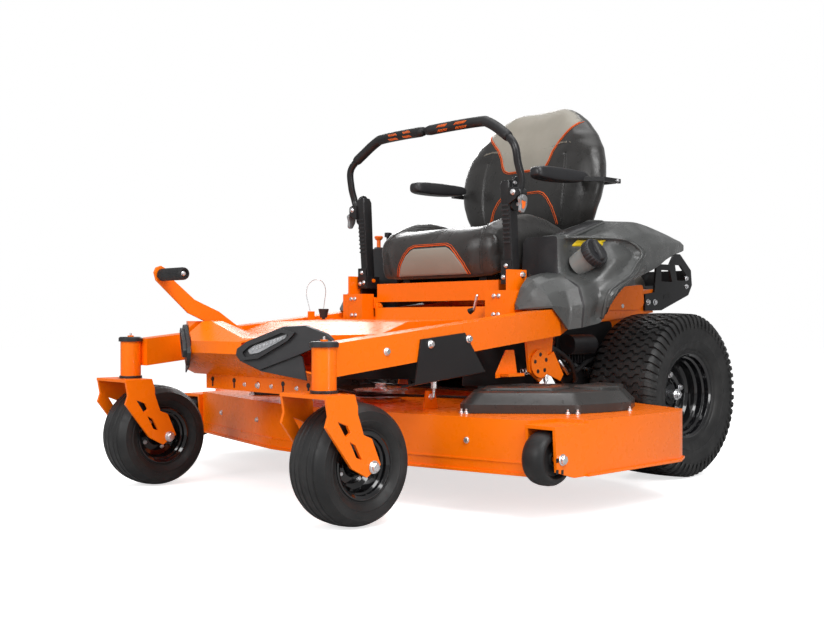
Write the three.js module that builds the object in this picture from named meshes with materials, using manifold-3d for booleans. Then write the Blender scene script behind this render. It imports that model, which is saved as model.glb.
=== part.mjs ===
// Zero turn mower: welded rail frame, two swivel casters, two hub-driven rear wheels, a suspended
// three-blade deck, twin lap bars, a tilting high-back seat and a rear-mounted V-twin engine.
// Millimetres. +Z up, the machine faces -Y and its left side is +X. Ground at Z = 0.

import * as THREE from 'three';
import { mergeVertices } from 'three/addons/utils/BufferGeometryUtils.js';
import { ConvexGeometry } from 'three/addons/geometries/ConvexGeometry.js';
import Module from 'manifold-3d';

const wasm = await Module();
wasm.setup();

// ---------------------------------------------------------------- driving dimensions
const GAP = 0.3;                                    // clearance between touching pieces
const CASTER = { x: 437.5, axleY: -724, spindleY: -799, radius: 143, width: 130, rim: 75 };
const REAR = { x: 471, y: 500, radius: 247, width: 228, rim: 122 };
const RAIL = { outer: 450, width: 60, height: 76, topZ: 425.5, slope: 0.107 };
const RAIL_REAR_OUTER = 330;
const FRAME_END_Y = 654;
const DECK = { half: 787, lip: 6, top: 238, bottom: 107, wall: 5, chuteFront: -240, chuteRear: 180 };
const CHUTE_REACH = 1000;
const SPINDLES = [
  { name: 'left', x: 495, y: -38 },
  { name: 'center', x: 0, y: -238 },
  { name: 'right', x: -495, y: -38 },
];
const BLADE_RADIUS = 263;
const PULLEY_RADIUS = 70;
const BELT_Z = 262;
const SEAT = { half: 262, frontY: -15, panTop: 588, hingeY: -22, hingeZ: 517 };
const ARMREST = { x: 261, halfWidth: 25, frontY: 138, z: 900 };
const PILLAR = { inner: 266, outer: 360, frontY: -80, rearY: -30, top: 556 };  // |x| and y
const LEVER = { x: 311, y: -12, pivotZ: 600, lean: 21, top: 870 };
const BAR_PIVOT = { x: 347, y: -31, z: 830 };                // where a lap bar swings outward
const PEDAL = { x: -183, thickness: 8, pivotY: -560, pivotZ: 405 };
const ENGINE = { y: 640, plateZ: 520 };
const CAP = { x: 478, y: 140, z: 660, tilt: 1.05 };          // fuel cap on the tank's shoulder
const PIN = { x: -336, y: -180 };                            // height-of-cut pin
const PANEL = { z: 715, switch: [-388, 100], key: [-345, 105], throttle: [-396, 150] };
const WHEEL_OUTER = { x: 742, y: -385, z: 154 };
const WHEEL_INNER = { x: 190, y: -586, z: 154 };
const GUIDE_WHEEL = { radius: 64, width: 62 };
const CHUTE_HINGE = { x: -798, z: 228 };
const ROUND = 16;                                   // sides of a plain cylinder

// The chute reaches further out than the left wall of the deck, so the machine's centre plane
// sits to the left of the middle of the bounding box.
const CENTRE_X = (CHUTE_REACH - DECK.half - DECK.lip) / 2;

// ---------------------------------------------------------------- materials
const finish = (color, roughness, metalness = 0) =>
  new THREE.MeshStandardMaterial({ color, roughness, metalness });
const ORANGE = finish(0xff7300, 0.35);
const BLACK_PAINT = finish(0x1d1e1f, 0.45);
const GREY_PLASTIC = finish(0x626462, 0.55);
const BLACK_PLASTIC = finish(0x242526, 0.5);
const RUBBER = finish(0x17181a, 0.85);
const VINYL = finish(0x35302d, 0.55);
const STEEL = finish(0xb9bcc0, 0.3, 1);
const CASTING = finish(0x8c8f90, 0.5, 0.8);

// ---------------------------------------------------------------- solids
function signedVolume(geometry) {
  const p = geometry.attributes.position;
  const index = geometry.index;
  const [a, b, c] = [new THREE.Vector3(), new THREE.Vector3(), new THREE.Vector3()];
  let volume = 0;
  for (let i = 0; i < index.count; i += 3) {
    a.fromBufferAttribute(p, index.getX(i));
    b.fromBufferAttribute(p, index.getX(i + 1));
    c.fromBufferAttribute(p, index.getX(i + 2));
    volume += a.dot(b.cross(c)) / 6;
  }
  return volume;
}

// Positions only, shared corners merged, faces pointing out.
function closed(geometry) {
  const bare = geometry.clone();
  bare.deleteAttribute('normal');
  bare.deleteAttribute('uv');
  const merged = mergeVertices(bare, 1e-3);
  if (signedVolume(merged) < 0) {
    const index = merged.index.array;
    for (let i = 0; i < index.length; i += 3) [index[i], index[i + 1]] = [index[i + 1], index[i]];
  }
  return merged;
}

function toSolid(geometry) {
  const vertProperties = Float32Array.from(geometry.attributes.position.array);
  const triVerts = Uint32Array.from(geometry.index.array);
  return new wasm.Manifold(new wasm.Mesh({ numProp: 3, vertProperties, triVerts }));
}

function toGeometry(solid) {
  const mesh = solid.getMesh();
  const geometry = new THREE.BufferGeometry();
  geometry.setAttribute('position', new THREE.BufferAttribute(mesh.vertProperties, 3));
  geometry.setIndex(new THREE.BufferAttribute(mesh.triVerts, 1));
  return geometry;
}

const join = (...pieces) => toGeometry(pieces.map(toSolid).reduce((a, b) => a.add(b)));
const cut = (base, ...tools) =>
  toGeometry(tools.map(toSolid).reduce((a, b) => a.subtract(b), toSolid(base)));
const common = (a, b) => toGeometry(toSolid(a).intersect(toSolid(b)));

// ---------------------------------------------------------------- shape helpers
const AXIS_MATRIX = {
  x: new THREE.Matrix4().set(0, 0, 1, 0, 1, 0, 0, 0, 0, 1, 0, 0, 0, 0, 0, 1),
  y: new THREE.Matrix4().set(1, 0, 0, 0, 0, 0, -1, 0, 0, 1, 0, 0, 0, 0, 0, 1),
  z: new THREE.Matrix4(),
};

// A polygon extruded along an axis: points are (y,z) for x, (x,z) for y and (x,y) for z.
function prism(axis, points, from, to) {
  const shape = new THREE.Shape(points.map(([u, v]) => new THREE.Vector2(u, v)));
  const geometry = new THREE.ExtrudeGeometry(shape, { depth: to - from, bevelEnabled: false });
  geometry.applyMatrix4(AXIS_MATRIX[axis]);
  const shift = { x: [from, 0, 0], y: [0, to, 0], z: [0, 0, from] }[axis];
  geometry.translate(...shift);
  return closed(geometry);
}

const box = (x0, x1, y0, y1, z0, z1) => prism('z', [[x0, y0], [x1, y0], [x1, y1], [x0, y1]], z0, z1);

function polygon(radius, cx, cy, sides = ROUND, turn = 0) {
  return Array.from({ length: sides }, (_, i) => {
    const angle = turn + (i / sides) * Math.PI * 2;
    return [cx + radius * Math.cos(angle), cy + radius * Math.sin(angle)];
  });
}

const rod = (axis, radius, from, to, centre, sides = ROUND) =>
  prism(axis, polygon(radius, centre[0], centre[1], sides), from, to);

// A closed (radius, along) profile turned about an axis through the origin.
function turned(axis, profile, sides = 24) {
  const points = [...profile, profile[0]].map(([r, t]) => new THREE.Vector2(r, t));
  const geometry = new THREE.LatheGeometry(points, sides);
  if (axis === 'x') geometry.rotateZ(-Math.PI / 2);
  if (axis === 'z') geometry.rotateX(Math.PI / 2);
  return closed(geometry);
}

// A round bar along a smooth path through the given points.
function tube(points, radius, steps, sides = 10) {
  const path = new THREE.CatmullRomCurve3(points.map((p) => new THREE.Vector3(...p)), false, 'centripetal');
  const shape = new THREE.Shape(polygon(radius, 0, 0, sides).map(([u, v]) => new THREE.Vector2(u, v)));
  return closed(new THREE.ExtrudeGeometry(shape, { steps, extrudePath: path, bevelEnabled: false }));
}

const hull = (points) => closed(new ConvexGeometry(points.map((p) => new THREE.Vector3(...p))));

// Skin through cross-sections, each a list of (x, z) at its own y, capped at both ends.
function loft(sections) {
  const count = sections[0].outline.length;
  const positions = sections.flatMap(({ y, outline }) => outline.flatMap(([x, z]) => [x, y, z]));
  const index = [];
  for (let s = 0; s + 1 < sections.length; s += 1) {
    for (let i = 0; i < count; i += 1) {
      const a = s * count + i;
      const b = s * count + ((i + 1) % count);
      index.push(a, b, b + count, a, b + count, a + count);
    }
  }
  const ends = [[0, false], [sections.length - 1, true]];
  for (const [s, flipped] of ends) {
    const contour = sections[s].outline.map(([x, z]) => new THREE.Vector2(x, z));
    for (const [a, b, c] of THREE.ShapeUtils.triangulateShape(contour, [])) {
      const [p, q, r] = [a, b, c].map((i) => i + s * count);
      index.push(...(flipped ? [p, q, r] : [p, r, q]));
    }
  }
  const geometry = new THREE.BufferGeometry();
  geometry.setAttribute('position', new THREE.Float32BufferAttribute(positions, 3));
  geometry.setIndex(index);
  return closed(geometry);
}

// Sheet metal: an open line of (u, v) points given a thickness to its right-hand side.
function strip(points, thickness) {
  const normals = points.slice(1).map(([u, v], i) => {
    const [du, dv] = [u - points[i][0], v - points[i][1]];
    const length = Math.hypot(du, dv);
    return [dv / length, -du / length];
  });
  const offset = points.map(([u, v], i) => {
    const a = normals[Math.max(i - 1, 0)];
    const b = normals[Math.min(i, normals.length - 1)];
    const scale = thickness / (1 + a[0] * b[0] + a[1] * b[1]);
    return [u + (a[0] + b[0]) * scale, v + (a[1] + b[1]) * scale];
  });
  return [...points, ...offset.reverse()];
}

const mirrored = (geometry) => closed(geometry.clone().scale(-1, 1, 1));
const onSide = (geometry, side) => (side === 'left' ? geometry : mirrored(geometry));
const railTop = (y) => RAIL.topZ + RAIL.slope * (y - CASTER.axleY);

// ---------------------------------------------------------------- assembly
const mower = new THREE.Group();
const machine = new THREE.Group();
machine.position.x = CENTRE_X;
mower.add(machine);

function add(name, geometry, material, [x, y, z] = [0, 0, 0]) {
  const mesh = new THREE.Mesh(geometry, material);
  mesh.name = name;
  mesh.position.set(x, y, z);
  machine.add(mesh);
}

const SIDES = ['left', 'right'];
const signOf = (side) => (side === 'left' ? 1 : -1);

// ---------------------------------------------------------------- frame
// A rectangular tube that runs back and uphill from the caster, then steps inboard of the tyre.
function rail() {
  const inner = RAIL.outer - RAIL.width;
  const rearInner = RAIL_REAR_OUTER - RAIL.width;
  const plan = [
    [RAIL.outer, -775], [RAIL.outer, 26], [RAIL_REAR_OUTER, 226], [RAIL_REAR_OUTER, FRAME_END_Y],
    [rearInner, FRAME_END_Y], [rearInner, 205], [inner, 5], [inner, -775],
  ];
  const flat = prism('z', plan, railTop(0) - RAIL.height, railTop(0));
  const shear = new THREE.Matrix4().set(1, 0, 0, 0, 0, 1, 0, 0, 0, RAIL.slope, 1, 0, 0, 0, 0, 1);
  return closed(flat.applyMatrix4(shear));
}

function spindleTube() {
  return rod('z', 28.5, 309, 413, [CASTER.x, CASTER.spindleY]);
}

// Bracket behind each lap bar, with a skirt that ties it to the rail and the foot platform.
function pillar() {
  const { inner, outer, frontY, rearY, top } = PILLAR;
  const post = box(inner, outer, frontY, rearY, 420, top);
  const skirt = prism('x', [[-205, 474], [-60, 480], [-60, 418], [-112, 412]], outer - 5, outer);
  const foot = box(outer - 20, RAIL.outer - RAIL.width + 5, frontY, rearY, 430, 480);
  const ear = box(336, 346, -70, LEVER.y + 18, 540, LEVER.pivotZ + 14);
  const pin = rod('x', 6, LEVER.x - 26, 340, [LEVER.y, LEVER.pivotZ], 12);
  return join(post, skirt, foot, ear, pin);
}

function axlePlate() {
  const plate = [[400, 480], [400, 330], [440, 290], [560, 290], [600, 330], [600, 500]];
  return prism('x', plate, RAIL_REAR_OUTER - 22, RAIL_REAR_OUTER - 12);
}

function hangerPlate() {
  const plate = [[-60, 440], [-45, 330], [0, 300], [45, 330], [60, 440]];
  return prism('x', plate, 392, 400);
}

function mainFrame() {
  const half = [rail(), spindleTube(), pillar(), axlePlate(), hangerPlate()];
  const both = half.flatMap((piece) => [piece, mirrored(piece)]);
  const innerFace = RAIL.outer - RAIL.width + 5;
  const beams = [
    box(-innerFace, innerFace, -640, -600, 358, 398),
    box(-247, 247, -670, -662, 283, 330),
    box(-247, 247, -670, -610, 354, 362),
    box(-247, 247, -670, -662, 320, 362),
    box(-innerFace, innerFace, -30, 10, 434, 484),
    box(-300, 300, 330, 380, 474, 524),
    box(-300, 300, 440, 640, ENGINE.plateZ - 8, ENGINE.plateZ),
  ];
  const bracket = join(
    box(-360, -318, -225, -150, 470, 475),
    box(-360, -356, -225, -200, 470, 500),
  );
  const lug = prism('x', [[-640, 390], [-540, 390], [-542, 420], [-578, 420]], PEDAL.x - 31, PEDAL.x - 24);
  const lugs = [lug, closed(lug.clone().translate(55, 0, 0))];
  const holes = SIDES.map((side) =>
    rod('z', 16, 300, 420, [signOf(side) * CASTER.x, CASTER.spindleY]));
  const capRooms = SIDES.map((side) =>
    rod('z', 31, 413, 440, [signOf(side) * CASTER.x, CASTER.spindleY]));
  holes.push(...capRooms, rod('z', 60, 500, 540, [0, ENGINE.y]));
  holes.push(rod('z', 7, 460, 480, [-336, -180]));
  for (const x of [-215, -110, 0, 110, 215]) holes.push(box(x - 4, x + 4, -680, -655, 292, 312));
  const axleBore = rod('x', 40, 280, 330, [REAR.y, REAR.radius + 85]);
  holes.push(rod('x', 11.4, PEDAL.x - 40, PEDAL.x + 40, [PEDAL.pivotY, PEDAL.pivotZ]));
  return cut(join(...both, ...beams, ...lugs, bracket), ...holes, axleBore, mirrored(axleBore));
}

// Folded floor: nose band, lower skid skin and a floor that ramps up to the seat base.
function footPlatform() {
  const profile = strip([
    [-672, 322], [-805, 388], [-805, 419], [-785, 428], [-511, 436], [-418, 467], [-212, 474],
  ], 4);
  const plan = [
    [-105, -806], [105, -806], [305, -700], [305, -200], [-305, -200], [-305, -700],
  ];
  const footprint = prism('z', plan, 300, 500);
  const floor = common(prism('x', profile, -310, 310), footprint);
  const hump = common(footprint, hull([
    [-105, -804.5, 419], [105, -804.5, 419], [100, -785, 427], [-120, -735, 470], [-298, -735, 470],
    [-298, -700, 470], [-120, -700, 470], [-120, -610, 436], [-298, -610, 436], [-298, -700, 425],
    [-110, -780, 424], [100, -780, 424],
  ]));
  const wall = box(301, 305, -700, -205, 400, 470);
  const wallTrim = prism('x', [[-720, 480], [-720, 436], [-511, 437], [-418, 468], [-205, 475], [-205, 480]],
    290, 310);
  const slot = box(-194, -164, -790, -540, 405, 480);
  return cut(join(floor, hump, wall, mirrored(wall)), wallTrim, mirrored(wallTrim), slot);
}

// Wedge-shaped lamp housing between the nose and the rail.
function headlight() {
  const shell = hull([
    [109, -803, 407], [109, -801, 391], [150, -778, 352], [285, -712, 352], [380, -660, 362],
    [380, -660, 402], [310, -650, 467], [300, -705, 466], [200, -752, 440],
  ]);
  const nose = prism('z', [[60, -830], [105.4, -806.4], [305.6, -700.4], [305.6, -600], [60, -600]], 300, 500);
  return cut(shell, nose);
}

function stepPlate() {
  const side = [[-512, 426], [-358, 441], [-284, 340], [-532, 316]];
  const face = prism('x', side, RAIL.outer + GAP, RAIL.outer + 5);
  const lip = hull([
    [RAIL.outer + 5, -532, 316], [RAIL.outer + 5, -284, 340], [RAIL.outer + 5, -532, 321],
    [RAIL.outer + 5, -284, 345], [405, -532, 306], [405, -284, 330], [405, -532, 311], [405, -284, 335],
  ]);
  return join(face, lip);
}

function addFrame() {
  add('main_frame', mainFrame(), ORANGE);
  add('foot_platform', footPlatform(), ORANGE);
  for (const side of SIDES) {
    add(`headlight_housing_${side}`, onSide(headlight(), side), BLACK_PLASTIC);
    add(`step_plate_${side}`, onSide(stepPlate(), side), BLACK_PAINT);
  }
}

// ---------------------------------------------------------------- casters and wheels
function casterFork() {
  const plateHalf = 84;
  const top = prism('z', [[-plateHalf, -861], [plateHalf, -861], [plateHalf, -779], [-plateHalf, -779]], 300, 308);
  const legOutline = [
    [-861, 308], [-779, 308], [-770, 281], [-770, 265], [-753, 217], [-729, 207], [-702, 146],
    [-744, 121], [-788, 145], [-861, 240], [-853, 264],
  ];
  const leg = prism('x', legOutline, plateHalf - 8, plateHalf);
  const windows = [
    prism('x', [[-828, 251], [-800, 240], [-792, 224], [-805, 215]], 60, 100),
    prism('x', [[-794, 205], [-778, 196], [-759, 162], [-775, 168]], 60, 100),
  ];
  const axle = rod('x', 8, -plateHalf - 8, plateHalf + 8, [CASTER.axleY, CASTER.radius], 12);
  const stem = rod('z', 15.4, 304, 416, [0, CASTER.spindleY]);
  const cap = rod('z', 30, 413.4, 420, [0, CASTER.spindleY]);
  const bolt = rod('z', 9, 419, 429, [0, CASTER.spindleY], 6);
  const piece = join(top, leg, mirrored(leg), axle, stem, cap, bolt);
  return cut(piece, ...windows, ...windows.map(mirrored));
}

function tyre(radius, width, rim) {
  const half = width / 2;
  return turned('x', [
    [rim + 1.5, -half * 0.72], [rim + 14, -half * 0.9], [radius * 0.8, -half], [radius - 16, -half * 0.93],
    [radius - 2, -half * 0.7], [radius, 0], [radius - 2, half * 0.7], [radius - 16, half * 0.93],
    [radius * 0.8, half], [rim + 14, half * 0.9], [rim + 1.5, half * 0.72],
  ], 28);
}

function casterRim() {
  const r = CASTER.rim;
  return turned('x', [
    [8.4, -66], [24, -66], [24, -10], [r - 9, -10], [r - 9, -46], [r, -46], [r, 46], [r - 9, 46],
    [r - 9, 10], [24, 10], [24, 66], [8.4, 66],
  ], 16);
}

function rearRim() {
  const r = REAR.rim;
  return turned('x', [
    [33, 10], [r - 9, 10], [r - 9, -82], [r, -82], [r, 82], [r - 9, 82], [r - 9, 20], [33, 20],
  ], 20);
}

// Pump and gear housing with its axle stub; the wheel turns on the hub flange.
function transaxle() {
  const housing = hull([
    [150, 410, 250], [150, 590, 250], [300, 410, 250], [300, 590, 250], [150, 430, 330], [150, 570, 330],
    [290, 430, 330], [290, 570, 330], [170, 450, 190], [170, 550, 190], [290, 450, 190], [290, 550, 190],
  ]);
  const axle = rod('x', 30, 290, REAR.x + 46, [REAR.y, REAR.radius]);
  const flange = rod('x', 70, REAR.x - 6, REAR.x + 9.6, [REAR.y, REAR.radius]);
  const tower = rod('z', 45, 320, 400, [220, REAR.y]);
  const fan = rod('z', 75, 400, 416, [220, REAR.y], 16);
  return join(housing, axle, flange, tower, fan);
}

function addRunningGear() {
  for (const side of SIDES) {
    const sign = signOf(side);
    add(`caster_fork_${side}`, casterFork(), ORANGE, [sign * CASTER.x, 0, 0]);
    const casterAt = [sign * CASTER.x, CASTER.axleY, CASTER.radius];
    add(`caster_rim_${side}`, casterRim(), BLACK_PAINT, casterAt);
    add(`caster_tyre_${side}`, tyre(CASTER.radius, CASTER.width, CASTER.rim), RUBBER, casterAt);
    const rearAt = [sign * REAR.x, REAR.y, REAR.radius];
    add(`rear_rim_${side}`, onSide(rearRim(), side), BLACK_PAINT, rearAt);
    add(`rear_tyre_${side}`, tyre(REAR.radius, REAR.width, REAR.rim), RUBBER, rearAt);
    add(`transaxle_${side}`, onSide(transaxle(), side), CASTING);
  }
}

// ---------------------------------------------------------------- seat
function seatBox() {
  const { half, hingeY, hingeZ } = SEAT;
  const outer = half - 8;
  const shell = box(-outer, outer, -34, 300, 484.5, 512);
  const well = box(-outer + 5, outer - 5, -28, 295, 480, 520);
  const front = prism('x', [[-60, 400], [-54, 400], [-28, 512], [-34, 512]], -outer + 12, outer - 12);
  const ear = join(
    rod('x', 11, outer - 8, outer, [hingeY, hingeZ], 16),
    box(outer - 8, outer, -33, -11, 500, hingeZ),
  );
  const pinHole = rod('x', 6.4, -outer - 5, outer + 5, [hingeY, hingeZ], 12);
  return cut(join(cut(shell, well), front, ear, mirrored(ear)), pinHole);
}

function seatPan() {
  const { half, frontY, panTop, hingeY, hingeZ } = SEAT;
  const top = box(-half, half, frontY - 4, 420, panTop - 5, panTop);
  const apron = box(-half, half, frontY - 4, frontY, 530, panTop);
  const rib = box(half - 4, half, frontY - 4, 400, 545, panTop);
  const tab = prism('x', [[-34, 545], [-34, 512], [-28, 506], [-16, 506], [-10, 512], [-10, 545]],
    half - 4, half);
  const pin = rod('x', 6, half - 24, half, [hingeY, hingeZ], 10);
  const edge = join(rib, tab, pin);
  return join(top, apron, edge, mirrored(edge));
}

function seatSlide() {
  const runner = box(150, 180, 20, 400, SEAT.panTop + GAP, 606);
  const tray = box(-200, 200, 60, 380, 603, 608);
  return join(runner, mirrored(runner), tray);
}

// Cushion: a front edge that rolls out over the pan, and side bolsters around a lower middle.
function cushion() {
  const profile = [
    [-14, 612], [-34, 640], [-47, 690], [-38, 728], [0, 750], [60, 757], [200, 753], [330, 745], [385, 740],
    [430, 715], [430, 612],
  ];
  const core = prism('x', profile, -190, 190);
  const bolster = hull([
    [180, 10, 614], [250, 20, 614], [180, 425, 614], [240, 425, 614], [180, -25, 660], [262, -5, 660],
    [262, 385, 680], [200, -15, 735], [245, 40, 770], [245, 165, 803], [195, 165, 803], [240, 362, 750],
    [195, 362, 750], [200, 425, 725], [180, 425, 725],
  ]);
  return join(core, bolster, mirrored(bolster));
}

// Wings curve forward, so each level is widest ahead of the middle of the back.
function backrest() {
  const wing = 45;
  const level = (y, halfWidth, z, depth) => [
    [halfWidth, y - wing, z], [halfWidth * 0.72, y - depth * 0.55, z], [halfWidth * 0.8, y + depth * 0.35, z],
  ];
  const half = [
    ...level(435, 215, 745, 90), ...level(440, 280, 820, 110), ...level(450, 308, 920, 125),
    ...level(468, 288, 1030, 120), ...level(495, 215, 1120, 90), ...level(512, 118, 1180, 56),
  ];
  const shell = hull([...half, ...half.map(([x, y, z]) => [-x, y, z])]);
  const mount = box(-150, 150, 432.3, 460, 610, 770);
  const arm = box(240, 320, 452, 470, ARMREST.z, ARMREST.z + 16);
  return join(shell, mount, arm, mirrored(arm));
}

function armrest() {
  const { x, halfWidth, frontY, z } = ARMREST;
  const pad = prism('x', [
    [frontY + 10, z], [frontY, z + 9], [frontY + 10, z + 24], [frontY + 240, z + 28], [frontY + 242, z + 8],
    [frontY + 120, z - 4],
  ], x - halfWidth, x + halfWidth);
  const link = prism('z', [
    [x + 8, 345], [x + 24, 345], [330, 392], [330, 478], [321, 478], [321, 396],
  ], z, z + 16);
  return join(pad, link);
}

function addSeat() {
  add('seat_box', seatBox(), ORANGE);
  add('seat_pan', seatPan(), ORANGE);
  add('seat_slide', seatSlide(), BLACK_PAINT);
  add('seat_cushion', cushion(), VINYL);
  add('seat_backrest', backrest(), VINYL);
  for (const side of SIDES) add(`armrest_${side}`, onSide(armrest(), side), BLACK_PLASTIC);
}

// ---------------------------------------------------------------- lap bars
// Upright channel that rocks fore and aft on the pillar's pin, with a clevis outboard of its head.
function leverUpright() {
  const { x, y, pivotZ, lean, top } = LEVER;
  const channel = prism('x', [
    [y - 18, 575], [y + 18, 575], [y + 18 - lean, top], [y - 18 - lean, top],
  ], x - 18, x + 18);
  const foot = box(x - 22, x + 22, y - 28, y + 28, 574, pivotZ + 14);
  const cheek = (from, to) => join(
    box(x + 10, BAR_PIVOT.x, BAR_PIVOT.y + from, BAR_PIVOT.y + to, BAR_PIVOT.z - 30, BAR_PIVOT.z + 12),
    rod('y', 14, BAR_PIVOT.y + from, BAR_PIVOT.y + to, [BAR_PIVOT.x, BAR_PIVOT.z], 12),
  );
  const pinHole = rod('x', 6.4, x - 60, x + 60, [y, pivotZ], 12);
  return cut(join(channel, foot, cheek(-22, -12), cheek(15, 22)), pinHole);
}

// Bent tube with its grip, on a knuckle that swings outward in the clevis.
function lapBar() {
  const { x, y, z } = BAR_PIVOT;
  const gripEnd = [[240, -39, 1040], [212, -39, 1046], [110, -47, 1046], [8, -56, 1043]];
  const bar = tube([
    [x, y, z], [x + 13, y, z + 34], [x + 12, -46, 910], [x + 3, -53, 965], [x - 57, -44, 1012], ...gripEnd,
  ], 11, 18, 8);
  const knuckle = rod('y', 13, y - 11, y + 14, [x, z], 12);
  const grip = tube(gripEnd, 17, 6, 10);
  return join(bar, knuckle, grip);
}

function addControls() {
  for (const side of SIDES) {
    add(`lever_upright_${side}`, onSide(leverUpright(), side), BLACK_PAINT);
    add(`lap_bar_${side}`, onSide(lapBar(), side), BLACK_PAINT);
  }
}

// ---------------------------------------------------------------- fenders, bumper
// Moulded fender and fuel tank. Each section at its own y runs inner bottom, over the rail, down
// its outer face, out and up the flank, then over the shoulder to the inner edge of the top.
const FENDER_SECTIONS = [
  [-64, [364, 500.5], [368, 500.5], [370, 501], [374, 501], [377, 502], [376, 504], [372, 506], [368, 507],
    [364, 508]],
  [-14, [364, 505.5], [453, 505.5], [454.5, 505.6], [456, 506], [457, 510], [434, 530], [402, 556],
    [382, 570], [364, 577]],
  [40, [364, 511.5], [454, 511.5], [455, 447], [462, 446], [467, 500], [452, 545], [412, 576], [388, 583],
    [364, 588]],
  [72, [364, 515], [454, 515], [455, 451], [486, 451], [490, 508], [472, 558], [412, 586], [388, 589],
    [364, 591]],
  [77, [300, 516], [454, 516], [456, 452], [494, 452], [498, 510], [478, 560], [402, 590], [400, 714],
    [300, 714]],
  [118, [300, 520], [454, 520], [456, 457], [520, 458], [528, 520], [505, 566], [430, 604], [418, 714],
    [300, 714]],
  [165, [300, 526], [440, 526], [450, 475], [548, 500], [566, 560], [545, 600], [462, 640], [440, 714],
    [300, 714]],
  [196, [300, 530], [420, 530], [440, 500], [555, 520], [572, 580], [556, 630], [490, 690], [452, 726],
    [300, 728]],
  [214, [300, 532], [410, 532], [430, 510], [558, 530], [574, 592], [560, 662], [530, 708], [462, 740],
    [300, 742]],
  [260, [300, 542], [400, 540], [430, 535], [556, 545], [574, 610], [556, 680], [530, 716], [455, 758],
    [300, 762]],
  [350, [300, 600], [400, 600], [430, 600], [540, 606], [552, 645], [530, 700], [500, 735], [425, 774],
    [300, 780]],
  [500, [306, 640], [380, 640], [400, 640], [490, 645], [498, 680], [484, 715], [460, 742], [400, 772],
    [306, 782]],
  [620, [300, 665], [370, 665], [380, 665], [456, 668], [460, 690], [448, 715], [430, 735], [380, 754],
    [300, 764]],
  [725, [300, 688], [350, 688], [360, 688], [410, 690], [413, 698], [408, 707], [395, 715], [365, 724],
    [300, 734]],
];

const fender = () => loft(FENDER_SECTIONS.map(([y, ...outline]) => ({ y, outline })));

function capCutter(radius, depth) {
  return new THREE.CylinderGeometry(radius, radius, depth, ROUND).rotateX(Math.PI / 2);
}

function placedOnShoulder(geometry) {
  return closed(geometry.rotateY(CAP.tilt).translate(CAP.x, CAP.y, CAP.z));
}

function fenderWithCapSeat() {
  const pocket = placedOnShoulder(capCutter(52, 60).translate(0, 0, 20));
  return cut(fender(), pocket);
}

function fuelCap() {
  const disc = capCutter(47, 26).translate(0, 0, 4.5);
  const ridge = new THREE.BoxGeometry(78, 16, 12).translate(0, 0, 22);
  return join(placedOnShoulder(disc), placedOnShoulder(ridge));
}

// Guard behind the engine: two windowed side plates and a cross bar.
function rearBumper() {
  const outer = 339;
  const side = [
    [598, 502], [690, 504], [850, 556], [872, 590], [866, 640], [800, 692], [765, 692], [738, 655],
    [662, 655], [650, 562], [598, 556],
  ];
  const plate = prism('x', side, outer - 8, outer);
  const windows = [
    prism('x', [[690, 598], [690, 636], [738, 636], [752, 598]], 300, 380),
    prism('x', [[782, 604], [770, 655], [800, 655], [836, 625], [836, 604]], 300, 380),
  ];
  const bar = prism('x', [[848, 557], [872, 590], [866, 640], [858, 640], [862, 592], [842, 564]],
    -outer, outer);
  return join(cut(join(plate, mirrored(plate)), ...windows, ...windows.map(mirrored)), bar);
}

function addBody() {
  add('fender_left', fenderWithCapSeat(), GREY_PLASTIC);
  add('fender_right', mirrored(fender()), GREY_PLASTIC);
  add('fuel_cap', fuelCap(), BLACK_PLASTIC);
  add('rear_bumper', rearBumper(), BLACK_PAINT);
}

// ---------------------------------------------------------------- engine
function engineBlock() {
  const { y, plateZ } = ENGINE;
  const z = plateZ + GAP;
  const sump = rod('z', 120, z, z + 110, [0, y]);
  const bank = hull([
    [30, y - 60, z + 20], [30, y + 60, z + 20], [30, y - 60, z + 110], [30, y + 60, z + 110],
    [235, y - 40, z + 30], [235, y + 80, z + 30], [235, y - 40, z + 105], [235, y + 80, z + 105],
  ]);
  const shaft = rod('z', 14, 380, z + 10, [0, y]);
  return join(sump, bank, mirrored(bank), shaft);
}

function blowerHousing() {
  const { y, plateZ } = ENGINE;
  const base = plateZ + 111;
  const shroud = turned('z', [[0, base], [148, base], [148, base + 70], [110, base + 115], [0, base + 115]], 20);
  shroud.translate(0, y, 0);
  const cleaner = rod('x', 48, -185, 60, [y + 15, base + 100], 16);
  return join(shroud, cleaner);
}

function muffler() {
  const can = rod('x', 40, -170, 170, [808, 588], 16);
  const tail = rod('y', 16, 800, 840, [-120, 560], 12);
  return join(can, tail);
}

function ptoClutch() {
  const { y } = ENGINE;
  return turned('z', [[14.4, 384], [85, 384], [85, 420], [60, 425], [60, 470], [14.4, 470]], 24).translate(0, y, 0);
}

function addEngine() {
  add('engine_block', engineBlock(), CASTING);
  add('blower_housing', blowerHousing(), BLACK_PLASTIC);
  add('muffler', muffler(), STEEL);
  add('pto_clutch', ptoClutch(), STEEL);
}

// ---------------------------------------------------------------- deck
const DECK_PLAN = [
  [-787, -289], [-703, -303], [-697, -396], [-364, -469], [-150, -512], [150, -512], [364, -469],
  [697, -396], [703, -303], [787, -289], [787, 95], [755, 160], [516, 253], [-516, 253], [-755, 205],
  [-787, 192],
];

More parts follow.
